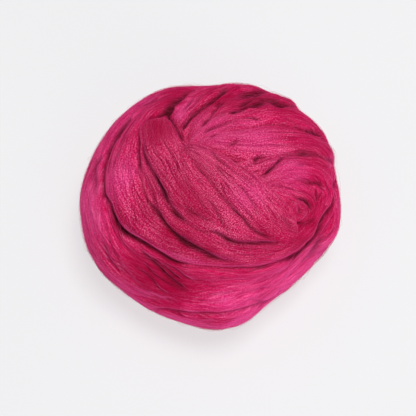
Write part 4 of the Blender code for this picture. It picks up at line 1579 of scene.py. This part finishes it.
@dataclass
class WoundBall:
    """The wraps of roving, each its own closed piece, and the core under them."""

    core: Core
    first_seed: int = 401
    seed_step: int = 17
    lane_width: float = 0.42 * MM  # spacing of points across a wrap
    fewest_lanes: int = 26
    lane_mix: tuple[float, float] = (0.55, 0.45)  # even lanes, and lanes drawn to the edges
    thinnest: float = 0.5 * MM  # least thickness of a wrap where a fold presses it
    base_layers: int = 2  # first wraps, each kept above the next where all are flat
    base_step: float = 0.12 * MM  # by how much
    core_gap: float = 0.6 * MM  # how far the piece of the core stays inside its half sizes
    core_fineness: int = 5
    core_shade: float = 0.9  # painted shade: the core is painted as dark as the bottom of a gap
    pattern_gap: float = 61.0  # mm that keep one wrap's streaks from the next one's
    shade_start: float = 0.6  # mm pressed in, where the painted shade of a gap begins
    shade_rate: float = 0.36  # the painted shade darkens by this for each mm more
    # the darkest painted shade of a gap
    darkest: float = 0.95
    weld_reach: float = 0.5e-6
    laid: list[LaidWrap] = field(default_factory=list)
    folds: PressedFolds = field(init=False)

    def __post_init__(self) -> None:
        """Lay out the folds."""
        self.folds = PressedFolds(self.core)

    def wind(self) -> None:
        """Lay all the wraps in order."""
        for number, wrap in enumerate(WINDING):
            laid = LaidWrap(wrap, self.core, seed=self.first_seed + self.seed_step * number)
            laid.settle(self.laid)
            self.laid.append(laid)

    def pressed_height(self, headings: np.ndarray) -> np.ndarray:
        """Height of the finished ball above its core.

        Args:
            headings: unit directions from the core's middle.

        Returns:
            Metres, one for each direction.
        """
        pressed = self.folds.depth(headings)
        top = np.zeros(len(headings))
        for laid in self.laid:
            top = np.maximum(top, laid.height_along(headings, fine=True) - pressed)
        return top

    def build(self, material: bpy.types.Material) -> list[bpy.types.Object]:
        """Make every wrap's piece.

        Args:
            material: the wool's finish.

        Returns:
            The pieces.
        """
        pieces = [self.build_core(material)]
        for number, laid in enumerate(self.laid):
            floor = self.base_step * max(0, self.base_layers - number)
            mesh = self.skin(laid, number, floor)
            pieces.append(add_piece(mesh.name, mesh, material))
        return pieces

    def build_core(self, material: bpy.types.Material) -> bpy.types.Object:
        """Make the core, which shows at the bottom of the deepest gaps, painted all over in painted
        shade.

        Args:
            material: the wool's finish.

        Returns:
            The piece.
        """
        shell = bmesh.new()
        bmesh.ops.create_icosphere(shell, subdivisions=self.core_fineness, radius=1.0)
        sizes = [size - self.core_gap for size in self.core.half_sizes]
        bmesh.ops.scale(shell, vec=sizes, verts=shell.verts)
        bmesh.ops.translate(shell, vec=self.core.centre, verts=shell.verts)
        mesh = mesh_from(shell, "core")
        places = np.empty(3 * len(mesh.vertices))
        mesh.vertices.foreach_get("co", places)
        floor = self.base_step * (self.base_layers + 1)
        places = rest_on_surface(places.reshape(-1, 3), floor)
        mesh.vertices.foreach_set("co", places.ravel())
        shade = np.tile((self.core_shade, 0.0, 0.0), (len(places), 1))
        self.mark(mesh, places[:, [2, 0, 1]] / MM, shade)
        return add_piece(mesh.name, mesh, material)

    def skin(self, laid: LaidWrap, number: int, floor: float) -> bpy.types.Mesh:
        """Make the closed mesh of one wrap.

        A grid is made with one column for each lane over the crown and the underside, and a
        row for each section. Its vertices are placed, and then its seams are welded.

        Args:
            laid: the wrap on the ball.
            number: its place in the winding.
            floor: height that none of it goes under.

        Returns:
            The mesh, with its fibre directions and its painted shade and painted light marked.
        """
        lanes = max(self.fewest_lanes, round(2 * laid.mean_half * MM / self.lane_width))
        even = np.linspace(-1, 1, lanes)
        spread = self.lane_mix[0] * even + self.lane_mix[1] * np.sin(0.5 * math.pi * even)
        rows = laid.count + (1 if laid.wrap.closed else 0)
        section = np.arange(rows) % laid.count
        index, across = np.meshgrid(section, spread, indexing="ij")
        headings = np.stack([laid.headings_at(s)[section] for s in spread], 1)
        flat = headings.reshape(-1, 3)
        pressed = self.folds.depth(flat).reshape(index.shape)
        sunk = np.minimum(laid.bed.min(0) - MM, -ROOT_DEPTH)[section]
        top = np.maximum(laid.fine_height(index, across) - pressed, sunk[:, None] + self.thinnest)
        columns = [self.lane(laid, section, s, top[:, k]) for k, s in enumerate(spread)]
        columns += [self.lane(laid, section, s, sunk) for s, _ in UNDERSIDE]
        columns.append(columns[0])
        places = rest_on_surface(np.stack(columns, 1), floor)
        travel = laid.step * np.arange(rows) / MM
        under = [offset for _, offset in UNDERSIDE] + [-1.0]
        offset = np.concatenate((spread, under)) * laid.mean_half
        strayed = offset[None] + laid.relief.wander(travel)[:, None]
        lay = self.fibre_lay(laid, strayed, travel, self.pattern_gap * number)
        shade = np.zeros((*places.shape[:2], 3))
        # Painted shade: the deeper a fold presses the wool in, the darker it is painted.
        dark = (pressed / MM - self.shade_start) * self.shade_rate
        shade[:, :lanes, 0] = np.clip(dark, 0, self.darkest)
        # Painted shade and painted light of the tints.
        dye = self.folds.dye(flat).reshape(index.shape)
        shade[:, :lanes, 1], shade[:, :lanes, 2] = np.maximum(dye, 0), np.maximum(-dye, 0)
        return self.weld(laid, places, lay, shade)

    def lane(self, laid: LaidWrap, section: np.ndarray, across: float,
             height: np.ndarray) -> np.ndarray:
        """Points of one lane along the wrap."""
        return self.core.raise_from(laid.headings_at(across)[section], height)

    def fibre_lay(self, laid: LaidWrap, offset: np.ndarray, travel: np.ndarray,
                  apart: float) -> np.ndarray:
        """Millimetres across and along the roving, bent into a ring where the wrap is closed.

        Args:
            laid: the wrap on the ball.
            offset: mm across, one row for each section.
            travel: mm along, one for each section.
            apart: mm that keep this wrap's pattern from its neighbour's.

        Returns:
            The coordinates that the wool's streaks are drawn in.
        """
        if laid.wrap.closed:
            radius = laid.length / MM / (2 * math.pi)
            turn = travel / radius
            along, up = radius * np.cos(turn), radius * np.sin(turn)
        else:
            along, up = travel, np.zeros_like(travel)
        shape = offset.shape
        return np.stack((
            offset + apart,
            np.broadcast_to(along[:, None] + apart, shape),
            np.broadcast_to(up[:, None], shape),
        ), -1)

    def weld(self, laid: LaidWrap, places: np.ndarray, lay: np.ndarray,
             shade: np.ndarray) -> bpy.types.Mesh:
        """Lay a grid through the places, close its seams and cap its open ends.

        Args:
            laid: the wrap on the ball.
            places: points, one row for each section.
            lay: fibre coordinates of the points.
            shade: shares of painted shade in gaps, painted shade and painted light of the points.

        Returns:
            The closed mesh.
        """
        rows, columns = places.shape[:2]
        sheet = bmesh.new()
        bmesh.ops.create_grid(sheet, x_segments=columns - 1, y_segments=rows - 1, size=1.0)
        mesh = mesh_from(sheet, "wrap_" + laid.wrap.name)
        mesh.vertices.foreach_set("co", places.reshape(-1))
        self.mark(mesh, lay.reshape(-1, 3), shade.reshape(-1, 3))
        tube = bmesh.new()
        tube.from_mesh(mesh)
        bmesh.ops.remove_doubles(tube, verts=tube.verts, dist=self.weld_reach)
        if not laid.wrap.closed:
            rims = [edge for edge in tube.edges if edge.is_boundary]
            bmesh.ops.holes_fill(tube, edges=rims, sides=0)
        bmesh.ops.recalc_face_normals(tube, faces=tube.faces)
        for face in tube.faces:
            face.smooth = True
        tube.to_mesh(mesh)
        tube.free()
        return mesh

    def mark(self, mesh: bpy.types.Mesh, lay: np.ndarray, shade: np.ndarray) -> None:
        """Store what the material reads at each point.

        Args:
            mesh: the mesh that gets it.
            lay: fibre coordinates.
            shade: shares of painted shade in gaps, painted shade and painted light.
        """
        for name, vectors in (("lay", lay), ("shade", shade)):
            attribute = mesh.attributes.new(name, "FLOAT_VECTOR", "POINT")
            attribute.data.foreach_set("vector", vectors.astype(np.float32).ravel())


@dataclass
class StrayFibres:
    """Single fibres that lie loose over the wraps and stand a little off the outline."""

    name: str
    count: int
    seed: int
    lengths: tuple[float, float] = (9.0, 28.0)  # mm
    stray_angle: float = 9.0  # degrees off the wrap's own direction, one standard deviation
    lift: tuple[float, float] = (0.05, 0.9)  # mm over the wool at mid length
    radius: float = 0.038 * MM
    joints: int = 8
    corners: int = 3  # of a fibre's section
    tip: float = 0.12  # radians cut off each end of the half wave that a fibre tapers by
    taper_power: float = 0.5
    area: float = 0.045  # square metres of wraps that the count is tried for
    edge: float = 0.95  # how near the edge of a wrap a fibre may start
    buried: float = 0.3 * MM  # how far under the top a wrap may lie and still show
    curl: float = 0.5
    sway: float = 0.25 * MM
    sways: float = 2.5  # side to side, in one fibre
    clearance: float = 0.06 * MM  # of the wool, at its ends
    floor: float = 0.05 * MM

    def build(self, ball: WoundBall, material: bpy.types.Material) -> bpy.types.Object:
        """Make the fibres as one piece.

        Args:
            ball: the wraps that they lie on.
            material: the fibres' finish.

        Returns:
            The piece.
        """
        rng = np.random.default_rng(self.seed)
        paths = np.concatenate([self.paths_on(laid, ball, rng) for laid in ball.laid])
        paths = paths[rng.permutation(len(paths))[:self.count]]
        section = self.section()
        curve = bpy.data.curves.new(self.name, "CURVE")
        curve.dimensions = "3D"
        curve.bevel_mode = "OBJECT"
        curve.bevel_object = section
        curve.use_fill_caps = True
        half_wave = np.sin(np.linspace(self.tip, math.pi - self.tip, self.joints))
        taper = half_wave**self.taper_power
        for path in paths:
            strand = curve.splines.new("POLY")
            strand.points.add(self.joints - 1)
            strand.points.foreach_set("co", np.hstack((path, np.ones((self.joints, 1)))).ravel())
            strand.points.foreach_set("radius", taper)
        holder = put_in_scene(self.name + "_path", curve)
        bpy.context.view_layer.update()
        evaluated = holder.evaluated_get(bpy.context.evaluated_depsgraph_get())
        mesh = bpy.data.meshes.new_from_object(evaluated)
        mesh.name = self.name
        mesh.materials.clear()
        bpy.data.objects.remove(holder)
        bpy.data.objects.remove(section)
        return add_piece(self.name, mesh, material)

    def section(self) -> bpy.types.Object:
        """The cross-section of a fibre."""
        ring = bpy.data.curves.new(self.name + "_section", "CURVE")
        outline = ring.splines.new("POLY")
        outline.points.add(self.corners - 1)
        for number, point in enumerate(outline.points):
            angle = math.radians(360.0 * number / self.corners)
            point.co = (self.radius * math.cos(angle), self.radius * math.sin(angle), 0, 1)
        outline.use_cyclic_u = True
        return put_in_scene(self.name + "_section", ring)

    def paths_on(self, laid: LaidWrap, ball: WoundBall, rng: np.random.Generator) -> np.ndarray:
        """Paths of the fibres that start on one wrap where it shows.

        Args:
            laid: the wrap.
            ball: all the wraps.
            rng: the source of chance.

        Returns:
            An array of paths, each a row of points.
        """
        area = laid.length * 2 * laid.mean_half * MM
        tries = int(self.count * area / self.area) + 4
        index = rng.integers(0, laid.count, tries)
        across = rng.uniform(-self.edge, self.edge, tries)
        starts = laid.points[index] + laid.side[index] * (across * laid.half[index])[:, None]
        top = height_over(unit(starts / laid.core.reach), ball.laid, fine=False)
        shown = laid.smooth_height(index, across) > top - self.buried
        index, across = index[shown], across[shown]
        count = len(index)
        if not count:
            return np.zeros((0, self.joints, 3))
        share = np.linspace(-0.5, 0.5, self.joints)[None]
        length = rng.uniform(*self.lengths, (count, 1)) * MM
        angle = np.radians(rng.normal(0, self.stray_angle, (count, 1)))
        curl = rng.normal(0, self.curl, (count, 1))
        phase = rng.uniform(0, 2 * math.pi, (count, 1))
        forward = share * length * np.cos(angle)
        aside = share * length * np.sin(angle) + curl * share**2 * length * 0.5
        aside = aside + self.sway * np.sin(2 * math.pi * share * self.sways + phase)
        section = index[:, None] + np.round(forward / laid.step).astype(int)
        if laid.wrap.closed:
            section %= laid.count
        else:
            section = np.clip(section, 0, laid.count - 1)
        sideways = (across[:, None] * laid.half[index][:, None]) + aside
        base = laid.points[section] + laid.side[section] * sideways[..., None]
        headings = unit(base / laid.core.reach)
        height = ball.pressed_height(headings.reshape(-1, 3)).reshape(count, self.joints)
        bridged = np.maximum(height, 0.5 * (np.roll(height, 1, 1) + np.roll(height, -1, 1)))
        bridged[:, (0, -1)] = height[:, (0, -1)]
        arch = rng.uniform(*self.lift, (count, 1)) * MM
        bridged += self.clearance + arch * np.cos(math.pi * share)
        return rest_on_surface(laid.core.raise_from(headings, bridged), self.floor)


class Panel(NamedTuple):
    """A square soft light that faces the ball."""

    name: str
    place: tuple[float, float, float]
    size: float  # metres
    power: float  # watts


@dataclass
class Setting:
    """The pale surface, the soft light and the camera."""

    target: tuple[float, float, float] = Core.centre
    elevation: float = 74.0  # degrees
    distance: float = 0.6
    lens: float = 85.0
    sensor: float = 36.0
    shift_px: tuple[float, float] = (1.5, 7.5)  # the ball's middle lies this far off the frame's
    frame_px: float = 416.0
    reach: float = 3.0  # how far the surface runs out to each side
    room: tuple[float, float, float, float] = (0.96, 0.97, 1.0, 1.0)
    room_strength: float = 0.36
    panels: tuple[Panel, ...] = (
        Panel("top_panel", (0.16, 0.10, 1.2), 0.4, 9.4),
        Panel("front_panel", (0.45, -0.80, 0.55), 0.8, 2.4),
    )

    def lay_surface(self) -> None:
        """Make the surface that the ball rests on."""
        board = bmesh.new()
        bmesh.ops.create_grid(board, x_segments=1, y_segments=1, size=self.reach)
        mesh = mesh_from(board, "surface")
        mesh.materials.append(PaleSurface().make())
        put_in_scene("surface", mesh)

    def light(self) -> None:
        """Soft light all round, a little stronger from above and from the front right."""
        world = bpy.data.worlds.new("soft_room")
        world.use_nodes = True
        background = world.node_tree.nodes["Background"]
        background.inputs["Color"].default_value = self.room
        background.inputs["Strength"].default_value = self.room_strength
        bpy.context.scene.world = world
        for panel in self.panels:
            lamp = bpy.data.lights.new(panel.name, "AREA")
            lamp.size, lamp.energy = panel.size, panel.power
            hung = put_in_scene(panel.name, lamp)
            hung.location = panel.place
            facing = Vector(panel.place) - Vector(self.target)
            hung.rotation_euler = facing.to_track_quat("Z", "Y").to_euler()

    def aim_camera(self) -> None:
        """Stand the camera where the photograph was taken from."""
        tilt = math.radians(self.elevation)
        back = Vector((0.0, -math.cos(tilt), math.sin(tilt)))
        view = bpy.data.cameras.new("camera")
        view.lens, view.sensor_width = self.lens, self.sensor
        view.shift_x, view.shift_y = (-shift / self.frame_px for shift in self.shift_px)
        camera = put_in_scene("camera", view)
        camera.location = Vector(self.target) + back * self.distance
        camera.rotation_euler = back.to_track_quat("Z", "Y").to_euler()
        bpy.context.scene.camera = camera


def main() -> None:
    """Build the ball and its setting, in order."""
    logging.basicConfig(level=logging.INFO, format="%(name)s: %(message)s")
    setting = Setting()
    setting.aim_camera()
    setting.lay_surface()
    setting.light()
    bpy.context.scene.view_settings.view_transform = "Standard"

    ball = WoundBall(Core())
    ball.wind()
    for piece in ball.build(CombedWool().make()):
        report(piece)
    loose = LooseWool().make()
    for fibres in (
        StrayFibres("close_fibres", count=3800, seed=11),
        StrayFibres("flyaway_fibres", count=700, seed=12, lengths=(7.0, 18.0),
                    stray_angle=26.0, lift=(0.4, 2.2)),
    ):
        report(fibres.build(ball, loose))


if __name__ == "__main__":
    main()
